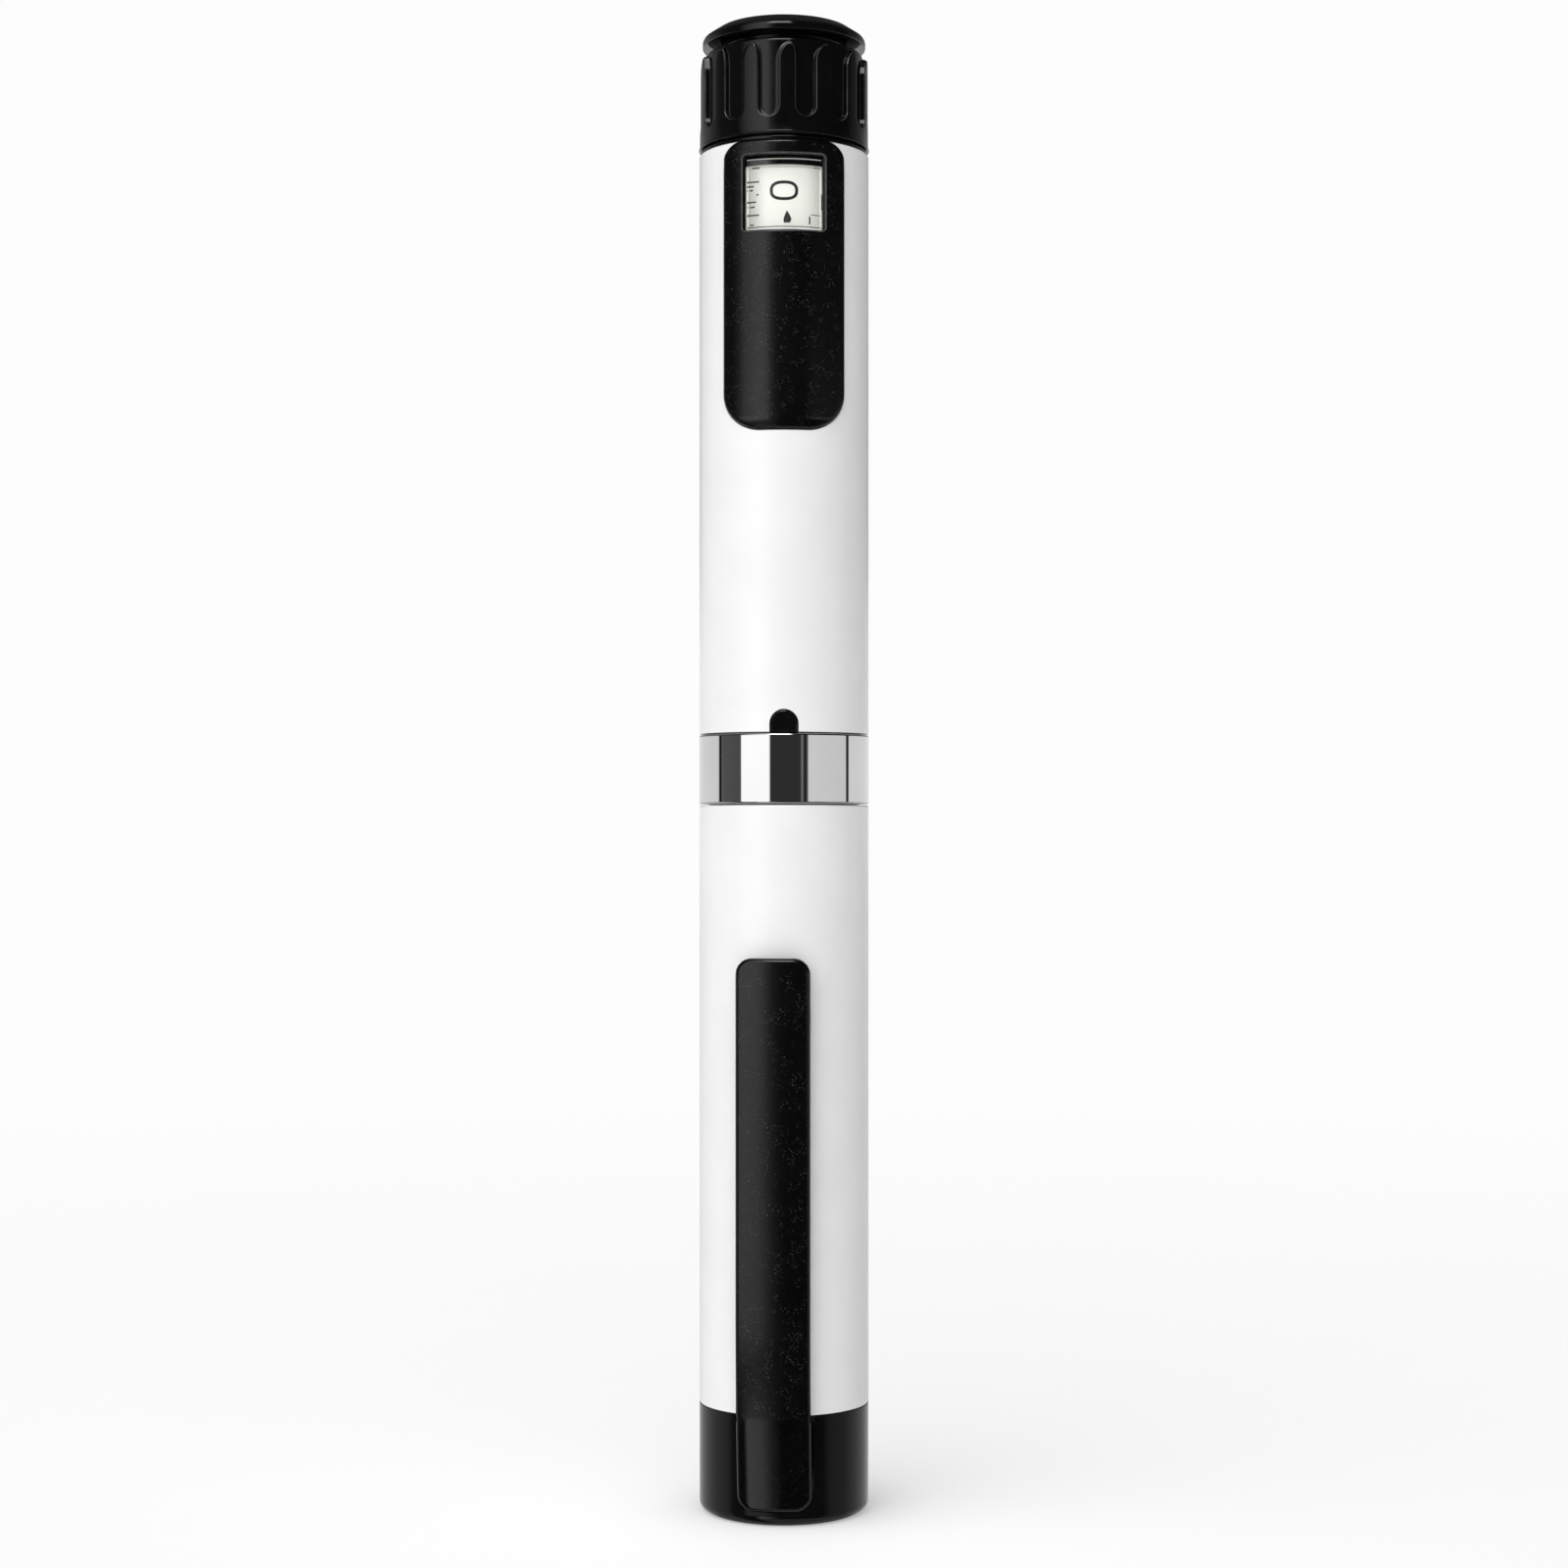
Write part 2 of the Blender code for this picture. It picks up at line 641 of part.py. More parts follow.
def bezel_place(clearance, front, back):
    """Point on a plate wrapped round the barrel, with the bezel's outline grown by a clearance."""
    top = bezel_top + clearance
    base = bezel_base - clearance
    half = BEZEL_WIDTH / 2 + clearance

    def place(across, height, is_front):
        lower = corner_width(height - base, half, BEZEL_BOTTOM_CORNER)
        upper = corner_width(top - height, half, BEZEL_TOP_CORNER)
        angle = across * math.asin(min(lower, upper) / body_radius)
        radius = front(height) if is_front else back
        return Vector((radius * math.sin(angle), -radius * math.cos(angle), height))

    heights = corner_heights(base, 1, BEZEL_BOTTOM_CORNER)
    heights += [(base + top) / 2]
    heights += reversed(corner_heights(top, -1, BEZEL_TOP_CORNER, 3))
    return heights, place


def make_barrel(white):
    barrel = turned("barrel", [
        (tube_bore, barrel_base),
        (body_radius, barrel_base),
        (body_radius, barrel_top),
        (tube_bore, barrel_top)], SKIN_SIDES)
    heights, place = bezel_place(SEAM, lambda height: 2 * body_radius, tube_bore - SLIP)
    heights[-1] = barrel_top + SLIP
    slot = plate("cutter_bezel_slot", heights, 8, place)
    notch = tab_block("cutter_tab_notch", TAB_WIDTH / 2 + SEAM, 2 * body_radius,
                      barrel_base - SEAM, TAB_HEIGHT + 2 * SEAM)
    cut(barrel, slot)
    cut(barrel, notch)
    barrel.data.materials.append(white)


def window_cutter(name, grow, bevel):
    """Rectangular opening through the front wall, wider at the outer face by the bevel."""
    top = window_top + grow
    base = window_base - grow
    half = WINDOW_WIDTH / 2 + grow
    rings = []
    for depth, wider in ((bezel_face + bevel, 2 * bevel), (bezel_face - bevel, 0), (0, 0)):
        rings.append([(-half - wider, -depth, base - wider), (half + wider, -depth, base - wider),
                      (half + wider, -depth, top + wider), (-half - wider, -depth, top + wider)])
    return lofted(name, rings)


def make_window(black, clear):
    def front(height):
        slope = max(1 - (height - bezel_base) / BEZEL_SLOPE, 0)
        return bezel_face - (BEZEL_PROUD - BEZEL_LOW) * slope

    heights, place = bezel_place(0, front, chassis_radius + SLIP)
    heights.append(bezel_base + BEZEL_SLOPE)
    bezel = plate("window_bezel", sorted(heights), 8, place)
    soften(bezel, BEZEL_EDGE)
    cut(bezel, window_cutter("cutter_window", 0, WINDOW_BEVEL))
    bezel.data.materials.append(black)

    outer = body_radius - LENS_SUNK
    inner = outer - LENS_THICKNESS
    half = WINDOW_WIDTH / 2 - SEAM

    def lens_place(across, height, is_front):
        angle = across * math.asin(half / outer)
        radius = outer if is_front else inner
        return Vector((radius * math.sin(angle), -radius * math.cos(angle), height))

    lens = plate("window_lens", [window_base + SEAM, window_top - SEAM], 8, lens_place)
    lens.data.materials.append(clear)


def make_chassis(black):
    """Chassis tube with the end flange over the barrel's rim, window and thread peg."""
    flange = body_radius - FLANGE_SUNK
    chassis = turned("chassis", [
        (chassis_bore, chassis_base),
        (chassis_radius, chassis_base),
        (chassis_radius, flange_low),
        (flange, flange_low),
        (flange, chassis_top),
        (chassis_bore, chassis_top)])
    reach = chassis_bore - GROOVE_DEPTH
    peg = lofted("chassis_thread_peg", [
        [(PEG_RADIUS * math.cos(angle), depth, peg_height + PEG_RADIUS * math.sin(angle))
         for angle in (math.tau * step / 10 for step in range(10))]
        for depth in (reach, (chassis_bore + chassis_radius) / 2)])
    join(chassis, peg)
    cut(chassis, window_cutter("cutter_chassis_window", SLIP, 0))
    chassis.data.materials.append(black)


def make_drum(cream):
    """Dose drum with the helical groove that the chassis peg runs in."""
    drum = turned("dose_drum", [
        (drum_bore, drum_base),
        (drum_radius, drum_base),
        (drum_radius, drum_top),
        (drum_bore + DRUM_SPIGOT_WALL, drum_top),
        (drum_bore + DRUM_SPIGOT_WALL, drum_spigot_top),
        (drum_bore, drum_spigot_top)], DRUM_SIDES)
    half = PEG_RADIUS + SLIP
    depth = drum_radius - GROOVE_DEPTH - 0.5 * SLIP
    overrun = half / drum_radius
    low = drum_base - 2 * half
    high = peg_height + DIAL_LEAD * overrun / math.tau
    steps = round((high - low) / DIAL_LEAD * GROOVE_STEPS)
    rings = []
    for step in range(steps + 1):
        height = low + (high - low) * step / steps
        angle = math.pi / 2 + math.tau * (peg_height - height) / DIAL_LEAD
        direction = Vector((math.cos(angle), math.sin(angle), 0))
        outer = drum_radius + SLIP
        rings.append([direction * radius + Vector((0, 0, height + rise))
                      for radius, rise in ((depth, -half), (outer, -half), (outer, half), (depth, half))])
    groove = lofted("cutter_drum_groove", rings)
    cut(drum, groove)
    drum.data.materials.append(cream)


def knob_rings():
    """Rings of the fluted head; columns follow the edges of the arched lands."""
    pitch = math.tau / FLUTES
    land = pitch / 2 - FLUTE_WIDTH / land_radius / 2
    wall = FLUTE_WALL / land_radius
    lip = land_radius + LIP_FLARE
    round_end = FLUTE_WIDTH / 2
    arch_top = KNOB_HEIGHT - ARCH_DROP
    arch_base = arch_top - ARCH_HEIGHT
    full = pitch / 2 - wall
    rows = [(0, full, lip - LIP_HEIGHT / 2, 0), (LIP_HEIGHT / 2, full, lip, 0),
            (LIP_HEIGHT, full, lip, 0), (1.5 * LIP_HEIGHT, full, land_radius, 0),
            (FLUTE_START, full, land_radius, 0)]
    for share in (0.3, 0.6, 1):
        opened = math.sqrt(1 - (1 - share) ** 2)
        rows.append((FLUTE_START + round_end * share, full + (land - full) * opened, land_radius, 1))
    for share in (0, 0.5, 0.8, 0.95):
        rows.append((arch_base + ARCH_HEIGHT * share, land * math.sqrt(1 - share ** 2), land_radius, 1))
    rows += [(arch_top, land * 0.1, floor_radius, 1),
             (KNOB_HEIGHT - KNOB_SHOULDER, land * 0.1, floor_radius, 1),
             (KNOB_HEIGHT, land * 0.1, floor_radius - KNOB_SHOULDER, 0)]
    rings = []
    for rise, half_land, radius, fluted in rows:
        ring = []
        for flute in range(FLUTES):
            middle = FLUTE_TURN - math.pi / 2 + (flute + 0.5) * pitch
            floor = floor_radius if fluted else radius
            for angle, distance in ((-pitch / 2, floor), (-half_land - wall, floor), (-half_land, radius),
                                    (0, radius), (half_land, radius), (half_land + wall, floor)):
                ring.append((distance * math.cos(middle + angle), distance * math.sin(middle + angle),
                             knob_base + rise))
        rings.append(ring)
    return rings


def make_knob(black):
    knob = lofted("dose_knob", knob_rings())
    neck = turned("knob_neck", [
        (0, knob_neck),
        (drum_radius, knob_neck),
        (drum_radius, knob_base + LIP_HEIGHT),
        (0, knob_base + LIP_HEIGHT)])
    socket = drum_bore + DRUM_SPIGOT_WALL + SLIP
    bore = turned("cutter_knob_bore", [
        (0, knob_neck - SLIP),
        (socket, knob_neck - SLIP),
        (socket, drum_spigot_top + SLIP),
        (drum_bore, drum_spigot_top + SLIP),
        (drum_bore, well_floor),
        (stem_radius + SLIP, well_floor),
        (stem_radius + SLIP, knob_top + SLIP),
        (0, knob_top + SLIP)])
    join(knob, neck)
    cut(knob, bore)
    knob.data.materials.append(black)


def make_button(black, steel):
    button = turned("injection_button", rounded([
        (0, button_top, 0),
        (0, button_top - BUTTON_ROOF, 0),
        (stem_bore, button_top - BUTTON_ROOF, 0),
        (stem_bore, stem_base, 0),
        (stem_radius, stem_base, 0),
        (stem_radius, button_base, 0),
        (button_radius, button_base, SKIN_EDGE),
        (button_radius, button_base + BUTTON_SIDE, 0),
        (button_radius - BUTTON_BEVEL, button_top, BUTTON_FILLET)]), BUTTON_SIDES)
    button.data.materials.append(black)

    middle = stem_bore - SPRING_WIRE - SLIP
    low = clutch_top + SPRING_WIRE + 0.5 * SLIP
    high = spring_top - SPRING_WIRE + 0.5 * SLIP
    rings = []
    steps = SPRING_TURNS * 14
    slope = (high - low) / (SPRING_TURNS * math.tau * middle)
    for step in range(steps + 1):
        angle = math.tau * SPRING_TURNS * step / steps
        outward = Vector((math.cos(angle), math.sin(angle), 0))
        along = Vector((-math.sin(angle), math.cos(angle), slope)).normalized()
        upward = outward.cross(along)
        centre = outward * middle + Vector((0, 0, low + (high - low) * step / steps))
        rings.append([centre + SPRING_WIRE * (math.cos(turn) * outward + math.sin(turn) * upward)
                      for turn in (math.tau * side / 6 for side in range(6))])
    spring = lofted("button_spring", rings)
    spring.data.materials.append(steel)


def make_drive(grey, blue, rubber_dark, black):
    """Rod, foot, threaded drive sleeve, its retainer, clutch sleeve and cartridge cushion."""
    flat = rod_radius - ROD_FLAT
    tip = rod_radius - ROD_TIP_STEP
    rod = lofted("plunger_rod", [circle(tip, rod_base - ROD_TIP, SMALL_SIDES)]
                 + [circle(tip, rod_base, SMALL_SIDES)]
                 + [circle(rod_radius, rod_base, SMALL_SIDES, flat)]
                 + [circle(rod_radius, rod_top, SMALL_SIDES, flat)])
    rod.data.materials.append(black)

    foot_radius = GLASS_RADIUS - GLASS_WALL - 2 * SLIP
    foot = turned("rod_foot", [
        (0, foot_base),
        (foot_radius, foot_base),
        (foot_radius, foot_top - FOOT_CHAMFER),
        (foot_radius - FOOT_CHAMFER, foot_top),
        (tip + SLIP, foot_top),
        (tip + SLIP, rod_base - ROD_TIP - SLIP),
        (0, rod_base - ROD_TIP - SLIP)], SMALL_SIDES)
    foot.data.materials.append(grey)

    sleeve = turned("drive_sleeve", [
        (nut_bore, sleeve_base),
        (spigot_bore - 1.5 * SLIP, sleeve_base),
        (spigot_bore - 1.5 * SLIP, sleeve_flange_top),
        (sleeve_radius, sleeve_flange_top),
        (sleeve_radius, sleeve_top),
        (nut_bore + BORE_RELIEF, sleeve_top),
        (nut_bore + BORE_RELIEF, nut_top),
        (nut_bore, nut_top)], SMALL_SIDES)
    sleeve.data.materials.append(grey)

    retainer = turned("sleeve_retainer", [
        (sleeve_radius + SLIP, sleeve_flange_top + SLIP),
        (spigot_bore - SLIP, sleeve_flange_top + SLIP),
        (spigot_bore - SLIP, sleeve_flange_top + SLIP + RETAINER_HEIGHT),
        (sleeve_radius + SLIP, sleeve_flange_top + SLIP + RETAINER_HEIGHT)], SMALL_SIDES)
    retainer.data.materials.append(black)

    clutch = turned("clutch_sleeve", [
        (clutch_bore, clutch_base),
        (clutch_radius, clutch_base),
        (clutch_radius, clutch_top - CLUTCH_FLANGE),
        (clutch_flange_radius, clutch_top - CLUTCH_FLANGE),
        (clutch_flange_radius, clutch_top),
        (clutch_bore, clutch_top)], SMALL_SIDES)
    clutch.data.materials.append(blue)

    cushion = turned("cartridge_cushion", [
        (GLASS_RADIUS - GLASS_WALL, cushion_base),
        (holder_radius, cushion_base),
        (holder_radius, cushion_base + CUSHION_THICKNESS),
        (GLASS_RADIUS - GLASS_WALL, cushion_base + CUSHION_THICKNESS)], SMALL_SIDES)
    cushion.data.materials.append(rubber_dark)


def main():
    clear_scene()
    white = finish("white_gloss", (0.86, 0.86, 0.85), 0.22)
    black_gloss = finish("black_gloss", (0.012, 0.012, 0.013), 0.16)
    black_grained = finish("black_grained", (0.018, 0.018, 0.019), 0.55)
    chrome = finish("bright_chrome", (0.82, 0.83, 0.84), 0.05, 1.0)
    cream = finish("drum_cream", (0.84, 0.83, 0.78), 0.5)
    liner_grey = finish("liner_grey", (0.42, 0.43, 0.44), 0.5)
    clear = finish("clear_lens", (0.95, 0.96, 0.96), 0.03, 0.0, 0.15)
    clear_grey = finish("holder_clear", (0.75, 0.78, 0.8), 0.15, 0.0, 0.35)
    glass = finish("cartridge_clear", (0.93, 0.96, 0.96), 0.02, 0.0, 0.2)
    aluminium = finish("crimp_aluminium", (0.78, 0.79, 0.8), 0.35, 1.0)
    rubber_grey = finish("septum_rubber", (0.45, 0.32, 0.24), 0.7)
    rubber_dark = finish("stopper_rubber", (0.09, 0.09, 0.1), 0.7)
    grey = finish("drive_grey", (0.5, 0.52, 0.54), 0.45)
    blue = finish("clutch_blue", (0.12, 0.3, 0.5), 0.45)
    steel = finish("spring_steel", (0.6, 0.6, 0.62), 0.3, 1.0)

    seat = make_cap(white, black_gloss, liner_grey)
    make_clip(seat, black_grained)
    make_holder(clear_grey)
    make_cartridge(glass, aluminium, rubber_grey, rubber_dark)
    make_collar(black_gloss)
    make_ring(chrome)
    make_barrel(white)
    make_window(black_grained, clear)
    make_chassis(black_gloss)
    make_drum(cream)
    make_knob(black_gloss)
    make_button(black_gloss, steel)
    make_drive(grey, blue, rubber_dark, black_gloss)


main()
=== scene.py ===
import math

import bmesh
import bpy
from mathutils import Matrix, Vector


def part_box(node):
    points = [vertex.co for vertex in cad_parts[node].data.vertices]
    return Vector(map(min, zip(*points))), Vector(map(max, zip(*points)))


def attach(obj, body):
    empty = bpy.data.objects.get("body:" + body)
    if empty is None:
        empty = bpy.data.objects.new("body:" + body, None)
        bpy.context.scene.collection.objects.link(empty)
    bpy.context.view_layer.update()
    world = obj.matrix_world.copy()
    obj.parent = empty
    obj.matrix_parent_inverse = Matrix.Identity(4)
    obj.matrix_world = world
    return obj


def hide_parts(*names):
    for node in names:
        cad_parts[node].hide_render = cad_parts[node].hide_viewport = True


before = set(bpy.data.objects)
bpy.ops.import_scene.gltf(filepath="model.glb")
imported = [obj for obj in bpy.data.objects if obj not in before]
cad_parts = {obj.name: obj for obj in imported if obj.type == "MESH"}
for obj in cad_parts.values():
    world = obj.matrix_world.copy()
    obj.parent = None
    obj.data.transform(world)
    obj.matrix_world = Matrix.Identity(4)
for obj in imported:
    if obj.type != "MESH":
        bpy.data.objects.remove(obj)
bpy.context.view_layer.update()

mm = 0.001
tiny = 1e-6
slip = 0.3 * mm       # running clearance between nested pieces
seam = 0.12 * mm      # hairline between pieces in the outer skin
skinSides = 160       # facets round what shows
clearSides = 96       # round the clear pieces and the collar
innerSides = 72
# Roundings of turned edges.
hairEdge = 0.05 * mm
fineEdge = 0.1 * mm
softEdge = 0.15 * mm
roundEdge = 0.2 * mm
fullEdge = 0.3 * mm


def low(node):
    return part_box(node)[0]


def high(node):
    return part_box(node)[1]


def roundSize(node):
    # Radius, foot and top of a round node.
    start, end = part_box(node)
    return end.x, start.z, end.z


def circle(radius, sides):
    return [(radius * math.cos(turn), radius * math.sin(turn))
            for turn in (math.tau * step / sides for step in range(sides))]


def quarterTurns(steps):
    # Angles from 0 to 90 degrees, in radians.
    return [math.pi / 2 * step / steps for step in range(steps + 1)]


bodyRadius, tubeLow, tubeTop = roundSize("cap_tube")
wall = 0.8 * mm
tubeBore = bodyRadius - wall
plugHeight = 11.7 * mm        # black end of the cap; the clip's grain is polished away below it


# Finishes

def addNode(tree, kind, inputs=None, **settings):
    node = tree.nodes.new(kind)
    for key, value in settings.items():
        setattr(node, key, value)
    for key, value in (inputs or {}).items():
        if isinstance(value, bpy.types.NodeSocket):
            tree.links.new(value, node.inputs[key])
        else:
            node.inputs[key].default_value = value
    return node


def calculator(tree):
    # Short form for Math nodes in a tree.
    def calc(operation, *values):
        return addNode(tree, "ShaderNodeMath", dict(enumerate(values)), operation=operation).outputs[0]
    return calc


def objectPlace(tree):
    return addNode(tree, "ShaderNodeTexCoord").outputs["Object"]


def principled(name, **sockets):
    # New material; returns it with its tree, its shader and its Object coordinates.
    material = bpy.data.materials.new(name)
    material.use_nodes = True
    tree = material.node_tree
    shader = tree.nodes["Principled BSDF"]
    for key, value in sockets.items():
        shader.inputs[key.replace("_", " ")].default_value = value
    return material, tree, shader, objectPlace(tree)


def noise(tree, place, size, detail=3.0, stretch=(1, 1, 1)):
    # Noise whose features are about size metres across; stretch lengthens them along an axis.
    scaled = addNode(tree, "ShaderNodeMapping", {
        "Vector": place, "Scale": [1 / (size * share) for share in stretch]})
    return addNode(tree, "ShaderNodeTexNoise", {
        "Vector": scaled.outputs[0], "Scale": 1.0, "Detail": detail}).outputs["Fac"]


def spread(tree, value, start, end, lowest=0.3, highest=0.7, kind="LINEAR"):
    # Maps a value from lowest..highest to start..end.
    return addNode(tree, "ShaderNodeMapRange", {
        "Value": value, "From Min": lowest, "From Max": highest,
        "To Min": start, "To Max": end}, interpolation_type=kind).outputs["Result"]


def ramped(tree, value, stops):
    # Colour ramp through (position, colour) stops.
    ramp = addNode(tree, "ShaderNodeValToRGB", {"Fac": value})
    elements = ramp.color_ramp.elements
    while len(elements) < len(stops):
        elements.new(0.5)
    for element, (position, colour) in zip(elements, stops):
        element.position = position
        element.color = (*colour, 1)
    return ramp.outputs["Color"]


def tint(tree, value, dark, pale):
    # Colour between two, by a value from 0.3 to 0.7.
    return ramped(tree, value, [(0.3, dark), (0.7, pale)])


def blend(tree, share, first, second):
    # Colour between two, by a share.
    return addNode(tree, "ShaderNodeMix", {0: share, 6: first, 7: second}, data_type="RGBA").outputs[2]


def between(tree, share, first, second):
    # Number between two, by a share.
    return addNode(tree, "ShaderNodeMix", {0: share, 2: first, 3: second}, data_type="FLOAT").outputs[0]


def lengthOf(tree, vector):
    return addNode(tree, "ShaderNodeVectorMath", {0: vector}, operation="LENGTH").outputs["Value"]


def surface(tree, share, first, second):
    # The material shows two shaders, mixed by a share.
    mixed = addNode(tree, "ShaderNodeMixShader", {0: share, 1: first.outputs[0], 2: second.outputs[0]})
    tree.links.new(mixed.outputs[0], tree.nodes["Material Output"].inputs["Surface"])


def dent(tree, shader, height, depth):
    bump = addNode(tree, "ShaderNodeBump", {"Height": height, "Distance": depth, "Strength": 1.0})
    tree.links.new(bump.outputs["Normal"], shader.inputs["Normal"])


def feed(tree, shader, **sockets):
    for key, value in sockets.items():
        tree.links.new(value, shader.inputs[key.replace("_", " ")])


def plastic(name, dark, pale, roughness, patch=6 * mm, peel=0.9 * mm, peelDepth=0.0015 * mm,
            polish=0.35 * mm):
    # Moulded plastic: faint cloudy tone, uneven polish and the peel left by the mould.
    material, tree, shader, place = principled(name, IOR=1.48)
    cloud = noise(tree, place, patch)
    feed(tree, shader, Base_Color=tint(tree, cloud, dark, pale),
         Roughness=spread(tree, noise(tree, place, polish, 5), *roughness))
    dent(tree, shader, noise(tree, place, peel, 2), peelDepth)
    return material


grain = {
    "pit": 0.16 * mm, "depth": 0.005 * mm, "cloud": 5 * mm,
    "speck": 0.2 * mm, "speckShare": (0.14, 0.27), "speckTone": (0.06, 0.058, 0.053, 1),
    "cluster": 1.1 * mm, "clusterShare": (0.47, 0.6),
    # What is left of roughness, pits and specks where the grain is polished away.
    "fade": 0.35 * mm, "polish": 0.32, "polishGrain": 0.05, "polishSpeck": 0.35,
}


def grainedPlastic(name, dark, pale, roughness, polished=None):
    # Spark-eroded grain with clusters of pale specks; below the polished height it is smooth.
    material, tree, shader, place = principled(name, IOR=1.5)
    calc = calculator(tree)
    cloud = noise(tree, place, grain["cloud"])
    pits = addNode(tree, "ShaderNodeTexVoronoi", {
        "Vector": place, "Scale": 1 / grain["pit"]}, feature="SMOOTH_F1").outputs["Distance"]
    fine = noise(tree, place, grain["pit"], 4)
    dots = addNode(tree, "ShaderNodeTexVoronoi", {"Vector": place, "Scale": 1 / grain["speck"]})
    specks = calc("MULTIPLY", spread(tree, dots.outputs["Distance"], 1, 0, *grain["speckShare"]),
                  spread(tree, noise(tree, place, grain["cluster"], 2), 0, 1, *grain["clusterShare"]))
    height = calc("ADD", pits, fine)
    rough = spread(tree, fine, *roughness)
    if polished is not None:
        level = addNode(tree, "ShaderNodeSeparateXYZ", {0: place}).outputs["Z"]
        kept = spread(tree, level, 0, 1, polished - grain["fade"], polished + grain["fade"], "SMOOTHSTEP")
        rough, height, specks = (
            calc("MULTIPLY", whole, spread(tree, kept, grain[left], 1, 0, 1))
            for whole, left in ((rough, "polish"), (height, "polishGrain"), (specks, "polishSpeck")))
    speckled = blend(tree, specks, tint(tree, cloud, dark, pale), grain["speckTone"])
    feed(tree, shader, Base_Color=speckled, Roughness=rough)
    dent(tree, shader, height, grain["depth"])
    return material


# Painted highlight: tone and patchiness of the pale lines painted along rounded edges.
paintedGlint = {"patch": 1.2 * mm, "least": 0.5, "tone": (0.09, 0.09, 0.092, 1)}


def wornEdges(material, distance, paintedLines):
    # Painted highlight: paler base colour along an edge, standing in for the light its rounding catches;
    # distance is a socket, the last argument a list of (metres, share).
    tree = material.node_tree
    shader = tree.nodes["Principled BSDF"]
    plain = shader.inputs["Base Color"].links[0].from_socket
    first, last = paintedLines[0][0], paintedLines[-1][0]
    along = ramped(tree, spread(tree, distance, 0, 1, first, last), [
        ((reach - first) / (last - first), (share, share, share)) for reach, share in paintedLines])
    uneven = spread(tree, noise(tree, objectPlace(tree), paintedGlint["patch"]), paintedGlint["least"], 1)
    glintShare = calculator(tree)("MULTIPLY", along, uneven)
    feed(tree, shader, Base_Color=blend(tree, glintShare, plain, paintedGlint["tone"]))


def brightMetal(name, dark, pale, roughness, stretch=(1, 1, 1), line=0.4 * mm, depth=0.0003 * mm,
                patch=8 * mm):
    # Plated or rolled metal with faint lines along the stretch.
    material, tree, shader, place = principled(name, Metallic=1.0)
    lines = noise(tree, place, line, 4, stretch)
    feed(tree, shader, Base_Color=tint(tree, noise(tree, place, patch), dark, pale),
         Roughness=spread(tree, lines, *roughness))
    dent(tree, shader, lines, depth)
    return material


clear = {"frost": 0.6 * mm, "wave": 3 * mm, "waveDepth": 0.002 * mm}


def clearPlastic(name, colour, roughness, ior=1.49):
    # Clear moulding; light on what lies behind passes straight through it.
    material, tree, shader, place = principled(name, IOR=ior, Transmission_Weight=1.0)
    shader.inputs["Base Color"].default_value = (*colour, 1)
    feed(tree, shader, Roughness=spread(tree, noise(tree, place, clear["frost"], 4), *roughness))
    dent(tree, shader, noise(tree, place, clear["wave"], 2), clear["waveDepth"])
    path = addNode(tree, "ShaderNodeLightPath").outputs
    passing = calculator(tree)("MAXIMUM", path["Is Shadow Ray"], path["Is Diffuse Ray"])
    surface(tree, passing, shader, addNode(tree, "ShaderNodeBsdfTransparent", {"Color": (*colour, 1)}))
    return material


polishTones = ((0.0022, 0.0022, 0.0023), (0.0034, 0.0034, 0.0035), (0.07, 0.13))
polishPeel = 0.0008 * mm
grainTones = ((0.001, 0.001, 0.0011), (0.002, 0.002, 0.0021), (0.16, 0.22))
whitePlastic = plastic("whitePlastic", (0.835, 0.835, 0.83), (0.865, 0.865, 0.86), (0.2, 0.27))
blackPolish = plastic("blackPolish", *polishTones, peelDepth=polishPeel)
# Same black as blackPolish; the knob's copy carries painted highlights along its flute edges.
knobPolish = plastic("knobPolish", *polishTones, peelDepth=polishPeel)
# The bezel's grain also carries a painted highlight round its window.
bezelGrain = grainedPlastic("bezelGrain", *grainTones)
clipGrain = grainedPlastic("clipGrain", *grainTones, plugHeight)
ringPlate = brightMetal("ringPlate", (0.6, 0.6, 0.605), (0.64, 0.64, 0.645), (0.035, 0.06), (1, 1, 30))
crimpMetal = brightMetal("crimpMetal", (0.72, 0.73, 0.75), (0.82, 0.83, 0.85), (0.22, 0.34),
                         (1, 1, 0.1), 0.2 * mm, 0.001 * mm)
springWire = brightMetal("springWire", (0.5, 0.5, 0.52), (0.62, 0.62, 0.64), (0.2, 0.32))
lensClear = clearPlastic("lensClear", (0.997, 0.998, 0.997), (0.01, 0.03))
holderSmoke = clearPlastic("holderSmoke", (0.86, 0.88, 0.9), (0.04, 0.09))
vialGlass = clearPlastic("vialGlass", (0.965, 0.985, 0.98), (0.003, 0.012), 1.5)
drumIvory = plastic("drumIvory", (0.87, 0.87, 0.81), (0.9, 0.9, 0.84), (0.38, 0.5), 2.5 * mm)
dialInk = plastic("dialInk", (0.014, 0.014, 0.015), (0.03, 0.03, 0.031), (0.4, 0.55), 0.5 * mm)
linerGrey = plastic("linerGrey", (0.36, 0.37, 0.38), (0.42, 0.43, 0.44), (0.4, 0.5))
driveGrey = plastic("driveGrey", (0.44, 0.46, 0.48), (0.52, 0.54, 0.56), (0.35, 0.48))
clutchBlue = plastic("clutchBlue", (0.09, 0.25, 0.44), (0.13, 0.31, 0.52), (0.35, 0.45))
rubberFace = (1.5 * mm, 0.3 * mm, 0.01 * mm)
septumRubber = plastic("septumRubber", (0.36, 0.24, 0.18), (0.44, 0.31, 0.24), (0.6, 0.75),
                       *rubberFace)
stopperRubber = plastic("stopperRubber", (0.06, 0.06, 0.065), (0.11, 0.11, 0.115), (0.55, 0.7),
                        *rubberFace)
print("finishes made")


# Mesh makers

